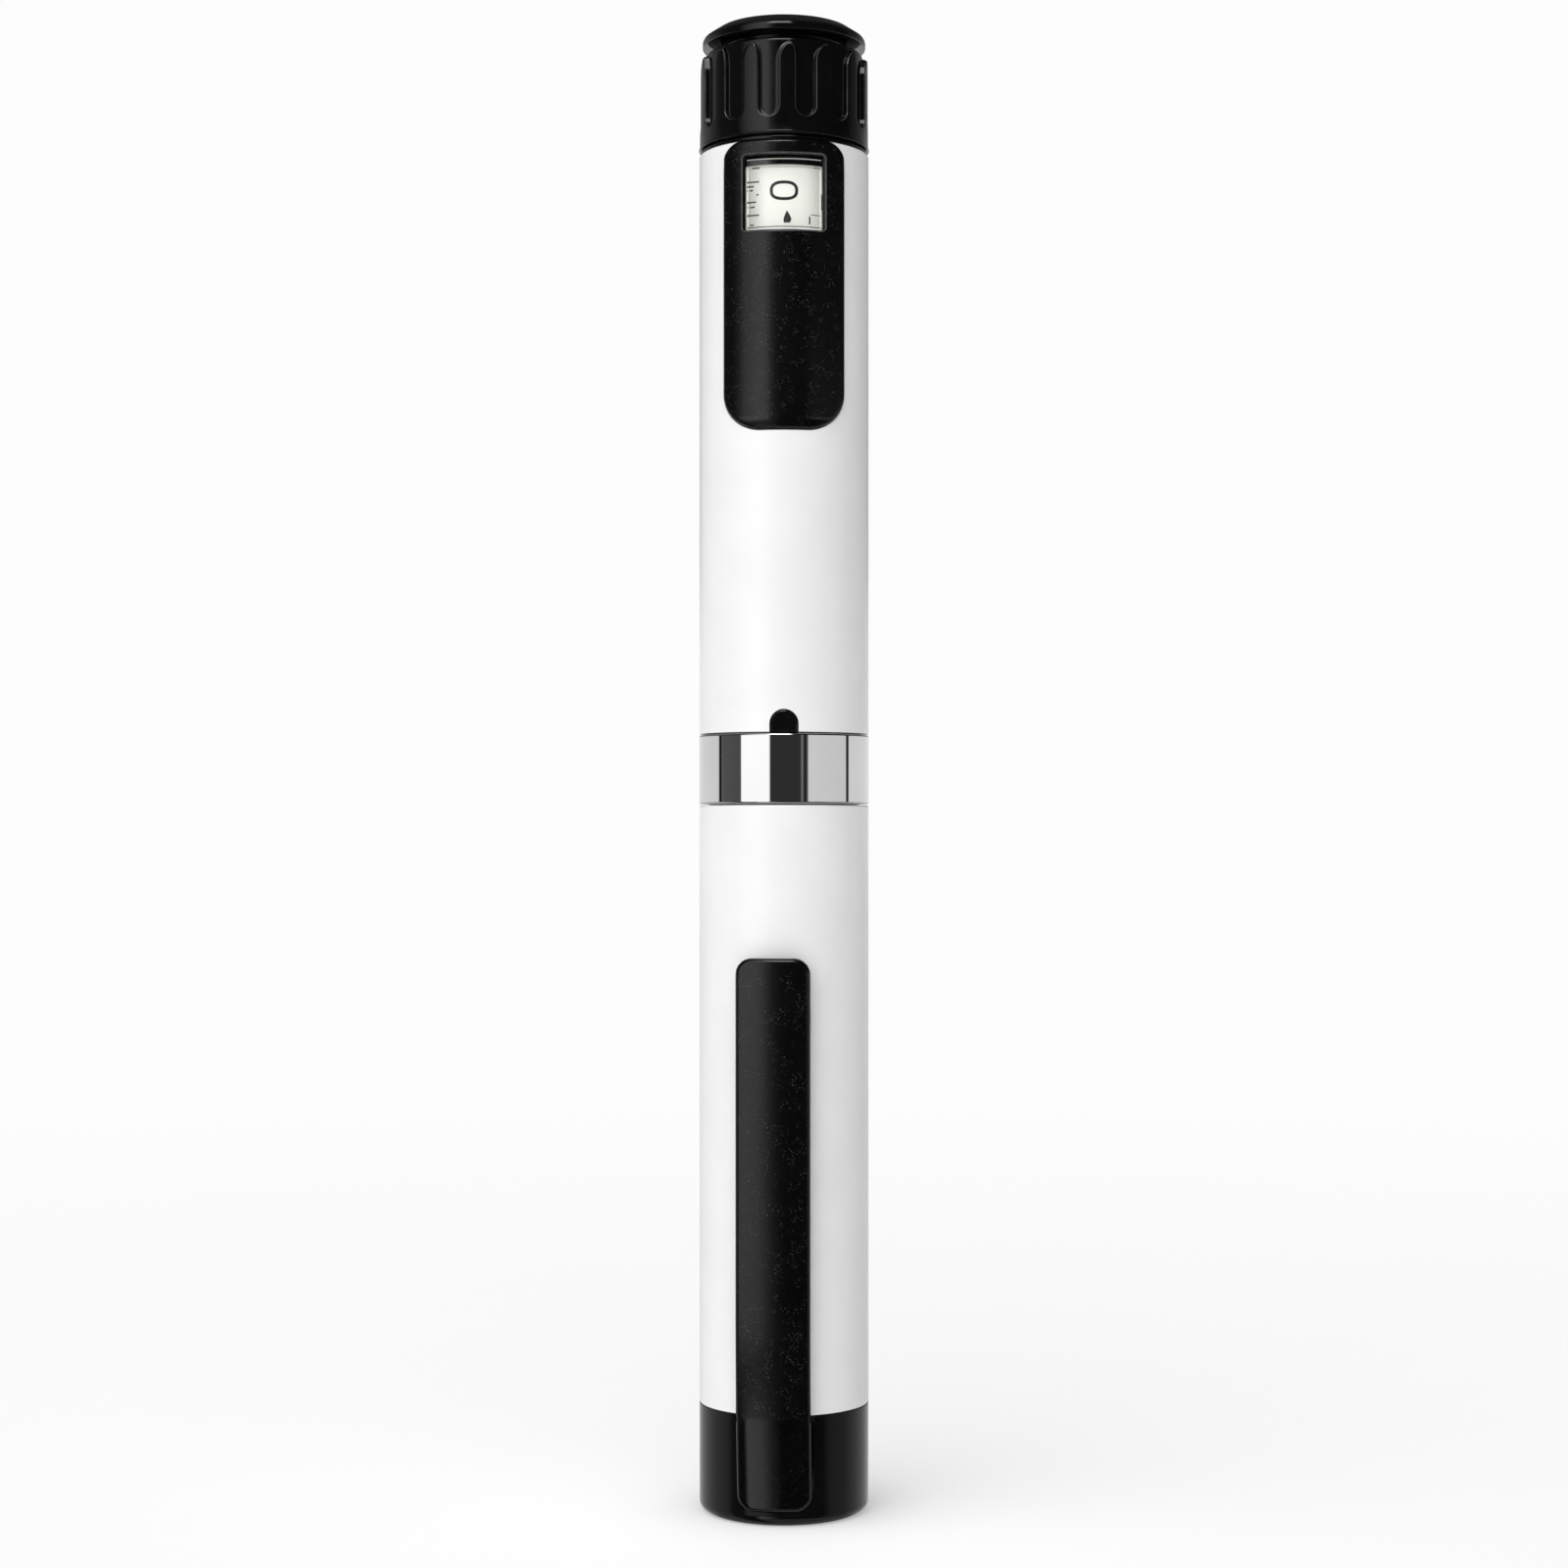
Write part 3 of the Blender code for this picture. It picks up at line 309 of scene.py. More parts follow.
def closed(mesh, recalculate=True):
    # Welds the mesh, drops flat slivers and turns the faces outwards.
    bmesh.ops.remove_doubles(mesh, verts=mesh.verts, dist=tiny)
    bmesh.ops.dissolve_degenerate(mesh, edges=mesh.edges, dist=tiny)
    if recalculate:
        bmesh.ops.recalc_face_normals(mesh, faces=mesh.faces)


def painted(data, material):
    data.materials.clear()
    data.materials.append(material)
    for face in data.polygons:
        face.material_index = 0


def linked(name, data):
    item = bpy.data.objects.new(name, data)
    bpy.context.scene.collection.objects.link(item)
    return item


def meshObject(name, mesh, material, recalculate=True):
    # Object at the origin from a bmesh.
    closed(mesh, recalculate)
    data = bpy.data.meshes.new(name)
    mesh.to_mesh(data)
    mesh.free()
    painted(data, material)
    return linked(name, data)


def smoothed(item, angle=40, radial=True):
    # Smooth shading up to an angle; upright round walls take the cylinder's own normals.
    data = item.data
    data.shade_smooth()
    data.set_sharp_from_angle(angle=math.radians(angle))
    if not radial:
        return item
    upright, along = 0.02, 0.995
    normals = []
    for face in data.polygons:
        for index in face.loop_indices:
            point = data.vertices[data.loops[index].vertex_index].co
            outward = Vector((point.x, point.y, 0))
            normal = Vector((0, 0, 0))
            if abs(face.normal.z) < upright and outward.length > tiny:
                outward.normalize()
                facing = face.normal.dot(outward)
                if abs(facing) > along:
                    normal = outward * math.copysign(1, facing)
            normals.append(normal)
    data.normals_split_custom_set(normals)
    return item


def rounded(corners, steps=4):
    # A closed outline through (radius, height, fillet) corners.
    outline = []
    for index, corner in enumerate(corners):
        point = Vector(corner[:2])
        fillet = corner[2] if len(corner) > 2 else 0
        if fillet == 0:
            outline.append(point)
            continue
        before = (Vector(corners[index - 1][:2]) - point).normalized()
        after = (Vector(corners[(index + 1) % len(corners)][:2]) - point).normalized()
        half = before.angle(after) / 2
        centre = point + (before + after).normalized() * fillet / math.sin(half)
        start = point + before * fillet / math.tan(half) - centre
        turn = start.angle_signed(point + after * fillet / math.tan(half) - centre)
        for step in range(steps + 1):
            outline.append(centre + Matrix.Rotation(-turn * step / steps, 2) @ start)
    return outline


def turnedMesh(outline, sides):
    # Closed surface turned about Z through (radius, height) points.
    mesh = bmesh.new()
    rings = []
    for radius, height in outline:
        if radius < tiny:
            rings.append([mesh.verts.new((0, 0, height))] * sides)
            continue
        rings.append([mesh.verts.new((*spot, height)) for spot in circle(radius, sides)])
    for lower, upper in zip(rings, rings[1:] + rings[:1]):
        for step in range(sides):
            ahead = (step + 1) % sides
            corners = [lower[step], lower[ahead], upper[ahead], upper[step]]
            kept = [corner for place, corner in enumerate(corners) if corner not in corners[:place]]
            if len(kept) > 2:
                mesh.faces.new(kept)
    return mesh


def turnedPiece(name, corners, material, sides=innerSides, steps=4):
    return smoothed(meshObject(name, turnedMesh(rounded(corners, steps), sides), material))


def sleevePiece(name, node, bore, edges, material, sides=innerSides, steps=4):
    # Plain tube or disc that fills a node's box; edges run from the inner lower one outwards and up.
    radius, foot, top = roundSize(node)
    spots = ((bore, foot), (radius, foot), (radius, top), (bore, top))
    return turnedPiece(name, [(*spot, edge) for spot, edge in zip(spots, edges)], material, sides, steps)


def outlineRows(plate, inset):
    # (half width, height) of each row of a rounded plate's outline, from the bottom up.
    lower, upper, steps = plate["lowCorner"], plate["topCorner"], plate["cornerSteps"]
    rows = [(plate["half"] - lower + (lower - inset) * math.sin(turn),
             plate["bottom"] + lower - (lower - inset) * math.cos(turn)) for turn in quarterTurns(steps)]
    start = plate["top"] - upper
    rows += [(plate["half"] - inset, height) for height in plate["heights"] if height <= start]
    reach, apart = upper - plate["edge"], 0.01
    turns = [math.acos((height - start) / reach) for height in plate["heights"] if height > start]
    least = min(turns, default=math.pi) - apart
    turns += [turn for turn in quarterTurns(steps)[::-1] if turn < least]
    rows += [(plate["half"] - upper + (upper - inset) * math.sin(turn),
              start + (upper - inset) * math.cos(turn)) for turn in turns]
    return rows


def fitted(spot, hole, inset, corner):
    # A point of the hole's edge moved onto the same outline, inset and with rounded corners.
    middle = (hole["top"] + hole["bottom"]) / 2
    size = (hole["across"][-1], (hole["top"] - hole["bottom"]) / 2)
    place = (spot[0], spot[1] - middle)
    ends = [math.copysign(1, value) for value in place]
    short = [size[axis] - abs(place[axis]) for axis in (0, 1)]
    reach = hole["cornerReach"]
    straight = [size[axis] - inset - corner for axis in (0, 1)]
    if max(short) < reach + tiny:
        turn = math.pi / 4 * (1 + (short[0] - short[1]) / reach)
        moved = [straight[0] + corner * math.cos(turn), straight[1] + corner * math.sin(turn)]
    else:
        moved = [size[axis] - inset if short[axis] < tiny
                 else abs(place[axis]) * straight[axis] / (size[axis] - reach) for axis in (0, 1)]
    return ends[0] * moved[0], middle + ends[1] * moved[1]


def plateMesh(plate, place):
    # place(across, height, drop, isBack) gives a point; drop is how far it lies under the face.
    mesh = bmesh.new()
    hole = plate.get("window")
    columns = plate["columns"]

    def spans(half):
        if hole is None:
            return [half * (2 * column / columns - 1) for column in range(columns + 1)]
        side = hole["sideColumns"]
        edge = min(hole["across"][-1], 0.8 * half)
        outer = [-half + (half - edge) * step / side for step in range(side)]
        inner = [across * edge / hole["across"][-1] for across in hole["across"]]
        return outer + inner + [-across for across in reversed(outer)]

    def sheet(inset, drop, isBack):
        return [[mesh.verts.new(place(across, height, drop, isBack)) for across in spans(half)]
                for half, height in outlineRows(plate, inset)]

    def rim(grid):
        loop = list(grid[0]) + [row[-1] for row in grid[1:-1]]
        return loop + list(reversed(grid[-1])) + [row[0] for row in reversed(grid[1:-1])]

    def rimLoop(inset, drop, isBack):
        rows = outlineRows(plate, inset)
        loop = [(across, rows[0][1]) for across in spans(rows[0][0])]
        loop += [(half, height) for half, height in rows[1:-1]]
        loop += [(across, rows[-1][1]) for across in reversed(spans(rows[-1][0]))]
        loop += [(-half, height) for half, height in reversed(rows[1:-1])]
        return [mesh.verts.new(place(across, height, drop, isBack)) for across, height in loop]

    def bridge(first, second):
        for index in range(len(first)):
            mesh.faces.new((first[index - 1], first[index], second[index], second[index - 1]))

    def inWindow(row, column):
        return hole is not None and hole["rows"][0] <= row < hole["rows"][1] \
            and hole["sideColumns"] <= column < columns - hole["sideColumns"]

    edge, steps = plate["edge"], plate["edgeSteps"]
    grids = [sheet(edge, 0, False), sheet(plate["backInset"], 0, True)]
    loops = [rim(grids[0])]
    for turn in quarterTurns(steps)[1:]:
        loops.append(rimLoop(edge * (1 - math.sin(turn)), edge * (1 - math.cos(turn)), False))
    if plate["backInset"] > 0:
        loops.append(rimLoop(0, plate["backInset"], True))
    loops.append(rim(grids[1]))
    for first, second in zip(loops, loops[1:]):
        bridge(first, second)
    for grid in grids:
        for row in range(len(grid) - 1):
            for column in range(columns):
                if not inWindow(row, column):
                    mesh.faces.new((grid[row][column], grid[row][column + 1],
                                    grid[row + 1][column + 1], grid[row + 1][column]))
    if hole is not None:
        def around(grid):
            first, last = hole["rows"]
            left, right = hole["sideColumns"], columns - hole["sideColumns"]
            loop = list(grid[first][left:right + 1]) + [grid[row][right] for row in range(first + 1, last)]
            loop += list(reversed(grid[last][left:right + 1]))
            return loop + [grid[row][left] for row in range(last - 1, first, -1)]

        spots = around([[(across, height) for across in spans(half)]
                        for half, height in outlineRows(plate, edge)])
        loops = [around(grids[0])]
        for inset, drop, corner in hole["profile"]:
            loops.append([mesh.verts.new(place(*fitted(spot, hole, inset, corner), drop, False))
                          for spot in spots])
        loops.append(around(grids[1]))
        for first, second in zip(loops, loops[1:]):
            bridge(first, second)
    return mesh


def applied(item):
    # Bakes the modifiers into a plain mesh.
    evaluated = item.evaluated_get(bpy.context.evaluated_depsgraph_get())
    data = bpy.data.meshes.new_from_object(evaluated)
    item.modifiers.clear()
    item.data = data
    return item


def carve(item, *tools):
    # Cuts closed tools out of a piece, then removes them.
    for tool in tools:
        cut = item.modifiers.new("cut", "BOOLEAN")
        cut.operation, cut.object, cut.solver = "DIFFERENCE", tool, "EXACT"
    bpy.context.view_layer.update()
    material = item.data.materials[0]
    applied(item)
    for tool in tools:
        bpy.data.objects.remove(tool)
    painted(item.data, material)
    return smoothed(item)


def loftedMesh(rings):
    # Closed solid through rings with equal counts.
    mesh = bmesh.new()
    loops = [[mesh.verts.new(point) for point in ring] for ring in rings]
    for lower, upper in zip(loops, loops[1:]):
        for index in range(len(lower)):
            mesh.faces.new((lower[index - 1], lower[index], upper[index], upper[index - 1]))
    mesh.faces.new(loops[0])
    mesh.faces.new(loops[-1])
    return mesh


def dress(item, body, slot, *nodes):
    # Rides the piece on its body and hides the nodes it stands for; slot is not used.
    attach(item, body)
    if nodes:
        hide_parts(*nodes)
    return item


# Geometry Nodes

def ruleTree(name, inputs):
    # Geometry tree with named float inputs; returns it with its input and output nodes.
    tree = bpy.data.node_groups.new(name, "GeometryNodeTree")
    tree.interface.new_socket("Geometry", in_out="INPUT", socket_type="NodeSocketGeometry")
    tree.interface.new_socket("Geometry", in_out="OUTPUT", socket_type="NodeSocketGeometry")
    for label, value in inputs.items():
        socket = tree.interface.new_socket(label, in_out="INPUT", socket_type="NodeSocketFloat")
        socket.default_value = value
    return tree, addNode(tree, "NodeGroupInput"), addNode(tree, "NodeGroupOutput")


def ruleObject(name, tree, values, item=None):
    # Runs a tree on a mesh, or on an empty one, and returns the result as a plain mesh object.
    if item is None:
        item = linked(name, bpy.data.meshes.new(name))
    modifier = item.modifiers.new("rule", "NODES")
    modifier.node_group = tree
    labels = {entry.name: entry.identifier for entry in tree.interface.items_tree
              if entry.item_type == "SOCKET" and entry.in_out == "INPUT"}
    for label, value in values.items():
        modifier[labels[label]] = float(value)
    bpy.context.view_layer.update()
    return applied(item)


def finishTree(tree, geometry, material, groupOut):
    real = addNode(tree, "GeometryNodeRealizeInstances", {"Geometry": geometry})
    coated = addNode(tree, "GeometryNodeSetMaterial", {
        "Geometry": real.outputs[0], "Material": material})
    tree.links.new(coated.outputs[0], groupOut.inputs[0])


def coilTree(name, material, turnSteps, wireSides):
    # Round wire along a helix that starts at the base.
    tree, groupIn, groupOut = ruleTree(name, {
        "Radius": 4 * mm, "Turns": 5, "Wire": 0.3 * mm, "Base": 0, "Height": 8 * mm})
    sizes = groupIn.outputs
    spiral = addNode(tree, "GeometryNodeCurveSpiral", {
        "Resolution": turnSteps, "Rotations": sizes["Turns"], "Start Radius": sizes["Radius"],
        "End Radius": sizes["Radius"], "Height": sizes["Height"]})
    profile = addNode(tree, "GeometryNodeCurvePrimitiveCircle", {
        "Resolution": wireSides, "Radius": sizes["Wire"]}, mode="RADIUS")
    wire = addNode(tree, "GeometryNodeCurveToMesh", {
        "Curve": spiral.outputs[0], "Profile Curve": profile.outputs[0], "Fill Caps": True})
    lift = addNode(tree, "ShaderNodeCombineXYZ", {"Z": sizes["Base"]})
    moved = addNode(tree, "GeometryNodeTransform", {
        "Geometry": wire.outputs[0], "Translation": lift.outputs[0]})
    finishTree(tree, moved.outputs[0], material, groupOut)
    return tree


def countedPoints(tree, count):
    # One point at the origin for each copy, and its index.
    whole = addNode(tree, "FunctionNodeFloatToInt", {0: count}).outputs[0]
    line = addNode(tree, "GeometryNodeMeshLine", {"Count": whole, "Offset": (0, 0, 0)})
    return line.outputs[0], addNode(tree, "GeometryNodeInputIndex").outputs[0]


def turnedCopies(tree, points, instance, angle):
    # A copy on each point, turned about Z.
    euler = addNode(tree, "ShaderNodeCombineXYZ", {"Z": angle})
    turn = addNode(tree, "FunctionNodeEulerToRotation", {0: euler.outputs[0]})
    return addNode(tree, "GeometryNodeInstanceOnPoints", {
        "Points": points, "Instance": instance, "Rotation": turn.outputs[0]}).outputs[0]


# Cap: white tube, black end plug, sleeve and clip

cap = {
    "tubeEdge": 0.18 * mm, "seamDrop": 0.2 * mm, "linerEdge": 0.25 * mm, "baseCorner": 1.15 * mm,
    "floor": 2.3 * mm, "plugWall": 1.5 * mm, "plugFillet": 0.8 * mm, "seatProud": 0.1 * mm,
}
spigotRadius = tubeBore - slip
seatDepth = spigotRadius + cap["seatProud"]
capTube = turnedPiece("white_cap_tube", [
    (tubeBore, tubeLow - cap["seamDrop"], 0),
    (bodyRadius, tubeLow - cap["seamDrop"], hairEdge),
    (bodyRadius, tubeTop, cap["tubeEdge"]),
    (tubeBore, tubeTop, hairEdge)], whitePlastic, skinSides)
dress(capTube, "cap", "white_gloss", "cap_tube")

capLiner = sleevePiece("cap_sleeve", "cap_liner", high("cap_liner").x - wall,
                       (fineEdge, fineEdge, fineEdge, cap["linerEdge"]), linerGrey, skinSides)
dress(capLiner, "cap", "liner_grey", "cap_liner")

clip = {
    "turn": math.radians(-6.5), "half": 7.95 / 2 * mm, "corner": 1.75 * mm,
    "edge": 0.42 * mm, "thickness": 1.5 * mm, "standoff": 0.7 * mm, "rootProud": 0.5 * mm,
    "crown": 14 * mm, "rise": 20.5 * mm, "nubDrop": 5 * mm, "nubWidth": 1.6 * mm,
    # Rows of the mesh in the root and above it.
    "rootRow": 0.9 * mm, "rootRows": 8, "freeRow": 1.1 * mm, "freeRows": 44, "rowGap": 0.2 * mm,
}
clipTurn = Matrix.Rotation(clip["turn"], 3, "Z")
clipBottom, clipTop = low("clip").z, high("clip").z
rootTop = plugHeight - 2 * slip


def clipFront(height):
    # Distance of the clip's face from the pen's axis.
    rise = min((height - clipBottom) / clip["rise"], 1)
    start = bodyRadius + clip["rootProud"]
    end = bodyRadius + clip["standoff"] + clip["thickness"] - 4 * tiny
    return start + (end - start) * math.sin(rise * math.pi / 2)


def clipBack(height):
    # Back face: in the plug's seat, then off the tube, with the grip rib under the tip.
    free = bodyRadius + clip["standoff"]
    middle = clipTop - clip["nubDrop"] - clip["nubWidth"]
    if height <= rootTop:
        return seatDepth + slip
    away = abs(height - middle) / clip["nubWidth"]
    if away < 1:
        return free - (clip["standoff"] - slip) * math.cos(away * math.pi / 2)
    return free


def clipPlace(across, height, drop, isBack):
    crown = clip["crown"] - math.sqrt(clip["crown"] ** 2 - across ** 2)
    depth = clipBack(height) + drop if isBack else clipFront(height) - crown - drop
    return clipTurn @ Vector((across, -depth, height))


rootBase = clipBottom + clip["corner"]
rootHeights = [rootBase + clip["rootRow"] * (row + 1) for row in range(clip["rootRows"])]
freeHeights = [rootTop + slip + clip["freeRow"] * row for row in range(clip["freeRows"] + 1)]
clipHeights = [height for height in rootHeights if height < rootTop - clip["rowGap"]] + [rootTop]
clipHeights += [height for height in freeHeights if height < clipTop - clip["corner"] - slip]
clipPiece = smoothed(meshObject("pocket_clip", plateMesh({
    "half": clip["half"], "bottom": clipBottom, "top": clipTop,
    "lowCorner": clip["corner"], "topCorner": clip["corner"], "cornerSteps": 10,
    "heights": clipHeights, "columns": 16, "edge": clip["edge"], "edgeSteps": 6,
    "backInset": 0.2 * mm}, clipPlace), clipGrain), radial=False)
dress(clipPiece, "clip_arm", "black_grained", "clip")


def seatTool():
    # Recess in the end plug round the clip's root.
    plate = {
        "half": clip["half"] + seam, "bottom": clipBottom - seam,
        "top": plugHeight + 2 * clip["corner"],
        "lowCorner": clip["corner"] + seam, "topCorner": clip["corner"], "cornerSteps": 10,
        "heights": [plugHeight], "columns": 4, "edge": hairEdge, "edgeSteps": 1, "backInset": 0}

    def place(across, height, drop, isBack):
        return clipTurn @ Vector((across, -(seatDepth if isBack else 2 * bodyRadius), height))

    return meshObject("seatTool", plateMesh(plate, place), blackPolish)


plugTop = high("cap_end_plug").z
endPlug = turnedPiece("cap_end", [
    (0, 0, 0),
    (bodyRadius, 0, cap["baseCorner"]),
    (bodyRadius, plugHeight, hairEdge),
    (spigotRadius, plugHeight, 0),
    (spigotRadius, plugTop, softEdge),
    (spigotRadius - cap["plugWall"], plugTop, softEdge),
    (spigotRadius - cap["plugWall"], cap["floor"], cap["plugFillet"]),
    (0, cap["floor"], 0)], blackPolish, skinSides, 8)
carve(endPlug, seatTool())
dress(endPlug, "cap", "black_gloss", "cap_end_plug")
print("cap made")


# Cartridge holder and cartridge

holder = {
    "wall": 0.9 * mm, "spigotWall": 0.55 * mm, "tipRim": 0.6 * mm, "tipHole": 3.2 * mm,
    "stopHeight": 2.7 * mm, "neck": 1 * mm, "shoulder": 3.6 * mm, "shoulderFillet": 0.8 * mm,
    "sightWidth": 5 * mm, "sightLength": 34 * mm, "sightStart": 14 * mm, "sightSteps": 16,
    "threadPitch": 0.9 * mm, "threadWire": 0.26 * mm, "threadTurns": 4.5, "threadStart": 0.9 * mm,
}
collarRadius, holderTip, holderTop = roundSize("cartridge_holder")
glassRadius, glassLow, glassTop = roundSize("cartridge_glass")
crimpRadius, crimpFace, crimpTop = roundSize("cartridge_crimp")
holderBore = glassRadius + slip
holderRadius = holderBore + holder["wall"]
seatRadius = crimpRadius + slip
needleRadius = seatRadius + holder["spigotWall"]
shoulderBase = crimpTop + holder["neck"]
shoulderTop = shoulderBase + holder["shoulder"]
collarBase = low("front_collar").z
stopTop = collarBase - slip
taper = needleRadius - seatRadius

clearHolder = turnedPiece("cartridge_housing", [
    (holder["tipHole"], holderTip, fineEdge),
    (needleRadius, holderTip, fullEdge),
    (needleRadius, shoulderBase - taper, fullEdge),
    (holderRadius, shoulderTop - taper, holder["shoulderFillet"]),
    (holderRadius, stopTop - holder["stopHeight"], fineEdge),
    (collarRadius, stopTop - holder["stopHeight"], roundEdge),
    (collarRadius, stopTop, roundEdge),
    (holderRadius, stopTop, fineEdge),
    (holderRadius, holderTop, softEdge),
    (holderBore, holderTop, softEdge),
    (holderBore, shoulderTop, fullEdge),
    (seatRadius, shoulderBase, fineEdge),
    (seatRadius, holderTip + holder["tipRim"], 0),
    (holder["tipHole"], holderTip + holder["tipRim"], fineEdge)], holderSmoke, clearSides)


def sightTool():
    # Long opening through both sides of the holder.
    half = holder["sightWidth"] / 2
    start = holderTip + holder["sightStart"]
    outline = []
    for centre, turn in ((start + half, math.pi), (start + holder["sightLength"] - half, 0)):
        for step in range(holder["sightSteps"] + 1):
            angle = turn + math.pi * step / holder["sightSteps"]
            outline.append((half * math.cos(angle), centre + half * math.sin(angle)))
    return meshObject("sightTool", loftedMesh([
        [(side * 2 * holderRadius, across, height) for across, height in outline] for side in (-1, 1)]),
        holderSmoke)


carve(clearHolder, sightTool())
dress(clearHolder, "holder", "holder_clear", "cartridge_holder")


threadDepth = 0.05 * mm        # how far the ridge sits in the seat
needleThread = ruleObject("needle_thread", coilTree("screwRidge", holderSmoke, 48, 8), {
    "Radius": needleRadius - threadDepth, "Turns": holder["threadTurns"], "Wire": holder["threadWire"],
    "Base": holderTip + holder["threadStart"], "Height": holder["threadPitch"] * holder["threadTurns"]})
dress(smoothed(needleThread, radial=False), "holder", "holder_clear")

vial = {
    "wall": 0.98 * mm, "neck": 2.9 * mm, "bore": 1.6 * mm, "neckFillet": 0.4 * mm,
    "shoulderFillet": 1.2 * mm, "flangeEdge": 0.25 * mm,
    "crimpWall": 0.3 * mm, "crimpHole": 2 * mm, "crimpEdge": 0.08 * mm,
}
flangeRadius = crimpRadius - vial["crimpWall"] - slip
flangeTop = crimpTop - vial["crimpWall"] - slip
glassBore = glassRadius - vial["wall"]
glassTube = turnedPiece("glass_cartridge", [
    (vial["bore"], glassLow, fineEdge),
    (flangeRadius, glassLow, vial["flangeEdge"]),
    (flangeRadius, flangeTop, vial["flangeEdge"]),
    (vial["neck"], flangeTop, softEdge),
    (vial["neck"], shoulderBase, vial["neckFillet"]),
    (glassRadius, shoulderTop + slip, vial["shoulderFillet"]),
    (glassRadius, glassTop, fullEdge),
    (glassBore, glassTop, fullEdge),
    (glassBore, shoulderTop + vial["wall"], vial["shoulderFillet"]),
    (vial["bore"], shoulderBase + vial["wall"], vial["neckFillet"])], vialGlass, clearSides, 6)
dress(glassTube, "cartridge", "cartridge_clear", "cartridge_glass")

crimpLip = vial["neck"] + slip
crimpBore = crimpRadius - vial["crimpWall"]
crimpInside = crimpTop - vial["crimpWall"]
crimp = turnedPiece("crimp_cap", [
    (vial["crimpHole"], crimpFace, vial["crimpEdge"]),
    (crimpRadius, crimpFace, vial["flangeEdge"]),
    (crimpRadius, crimpTop, roundEdge),
    (crimpLip, crimpTop, vial["crimpEdge"]),
    (crimpLip, crimpInside, vial["crimpEdge"]),
    (crimpBore, crimpInside, hairEdge),
    (crimpBore, crimpFace + vial["crimpWall"], hairEdge),
    (vial["crimpHole"], crimpFace + vial["crimpWall"], vial["crimpEdge"])], crimpMetal)
dress(crimp, "cartridge", "crimp_aluminium", "cartridge_crimp")

dress(sleevePiece("seal_disc", "cartridge_septum", 0, (0, softEdge, softEdge, 0), septumRubber),
      "cartridge", "septum_rubber", "cartridge_septum")

stopper = {"ribs": 3, "groove": 0.45 * mm, "ribStart": 0.2, "ribEnd": 0.7, "ribEdge": 0.25 * mm}


def stopperOutline():
    # Rubber plunger: three rounded ribs with grooves between them.
    radius, base, top = roundSize("cartridge_stopper")
    pitch = (top - base) / stopper["ribs"]
    inner = radius - stopper["groove"]
    outline = [(0, base), (inner, base, roundEdge)]
    for rib in range(stopper["ribs"]):
        start = base + rib * pitch
        outline += [(radius, start + share * pitch, stopper["ribEdge"])
                    for share in (stopper["ribStart"], stopper["ribEnd"])]
        outline += [(inner, start + pitch, softEdge)]
    return outline + [(0, base + pitch * stopper["ribs"])]


dress(turnedPiece("rubber_plunger", stopperOutline(), stopperRubber), "stopper",
      "stopper_rubber", "cartridge_stopper")
print("cartridge and holder made")


# Pen body: collar, ring, barrel, bezel, lens and chassis

body = {
    "neckWall": 0.8 * mm, "neckHeight": 2.7 * mm, "web": 2 * mm,
    "beadProud": 0.1 * mm, "beadWidth": 2.4 * mm, "beadFillet": 0.8 * mm, "beadRound": 1.5 * mm,
    "spigotRadius": 7.0 * mm, "spigotBore": 6.05 * mm, "guideRadius": 3.0 * mm,
    "ringEdge": 0.22 * mm, "ringSides": 192, "edge": 0.12 * mm,
    "tabHalf": 1.43 * mm, "tabHeight": 2.3 * mm, "tabSunk": 0.08 * mm, "tabEdge": 0.12 * mm,
    "tabDepth": 1.5 * mm, "flangeWall": 0.8 * mm, "flangeEdge": 0.04 * mm,
    "pegRadius": 0.6 * mm, "pegRise": 25.2 * mm, "pegIn": 0.55 * mm, "pegOut": 0.4 * mm, "pegSides": 24,
}
barrelLow, barrelTop = low("barrel").z, high("barrel").z
collarTop = barrelLow + body["neckHeight"]
bead = (collarBase + tubeTop) / 2
collarBore = collarRadius - body["neckWall"]
webTop = low("drive_sleeve").z - slip
spigotTop = high("front_collar").z

collarPiece = turnedPiece("front_neck", [
    (collarBore, collarBase, fineEdge),
    (collarRadius, collarBase, fullEdge),
    (collarRadius, bead - body["beadWidth"] / 2, body["beadFillet"]),
    (collarRadius + body["beadProud"], bead, body["beadRound"]),
    (collarRadius, bead + body["beadWidth"] / 2, body["beadFillet"]),
    (collarRadius, collarTop, fineEdge),
    (body["spigotRadius"], collarTop, fineEdge),
    (body["spigotRadius"], spigotTop, softEdge),
    (body["spigotBore"], spigotTop, softEdge),
    (body["spigotBore"], webTop, roundEdge),
    (body["guideRadius"], webTop, fineEdge),
    (body["guideRadius"], webTop - body["web"], fineEdge),
    (collarBore, webTop - body["web"], fullEdge)], blackPolish, clearSides)
dress(collarPiece, "pen_body", "black_gloss", "front_collar")


def tabOutline(grow, base, steps=16):
    # Upright outline with a half round top.
    radius = body["tabHalf"] + grow
    centre = barrelLow + body["tabHeight"] - body["tabHalf"]
    turns = [math.pi * step / steps for step in range(steps + 1)]
    arch = [(radius * math.cos(turn), centre + radius * math.sin(turn)) for turn in turns]
    return [(-radius, base), (radius, base)] + arch


def tabMesh():
    # The collar's key: face a little under the barrel's surface, with a rolled edge.
    rings = []
    face, edge = bodyRadius - body["tabSunk"], body["tabEdge"]
    for grow, drop in ((0, body["tabDepth"]), (0, edge), (-0.3 * edge, 0.3 * edge), (-edge, 0)):
        rings.append([(across, -math.sqrt((face - drop) ** 2 - across ** 2), height)
                      for across, height in tabOutline(grow, barrelLow - grow)])
    return loftedMesh(rings)


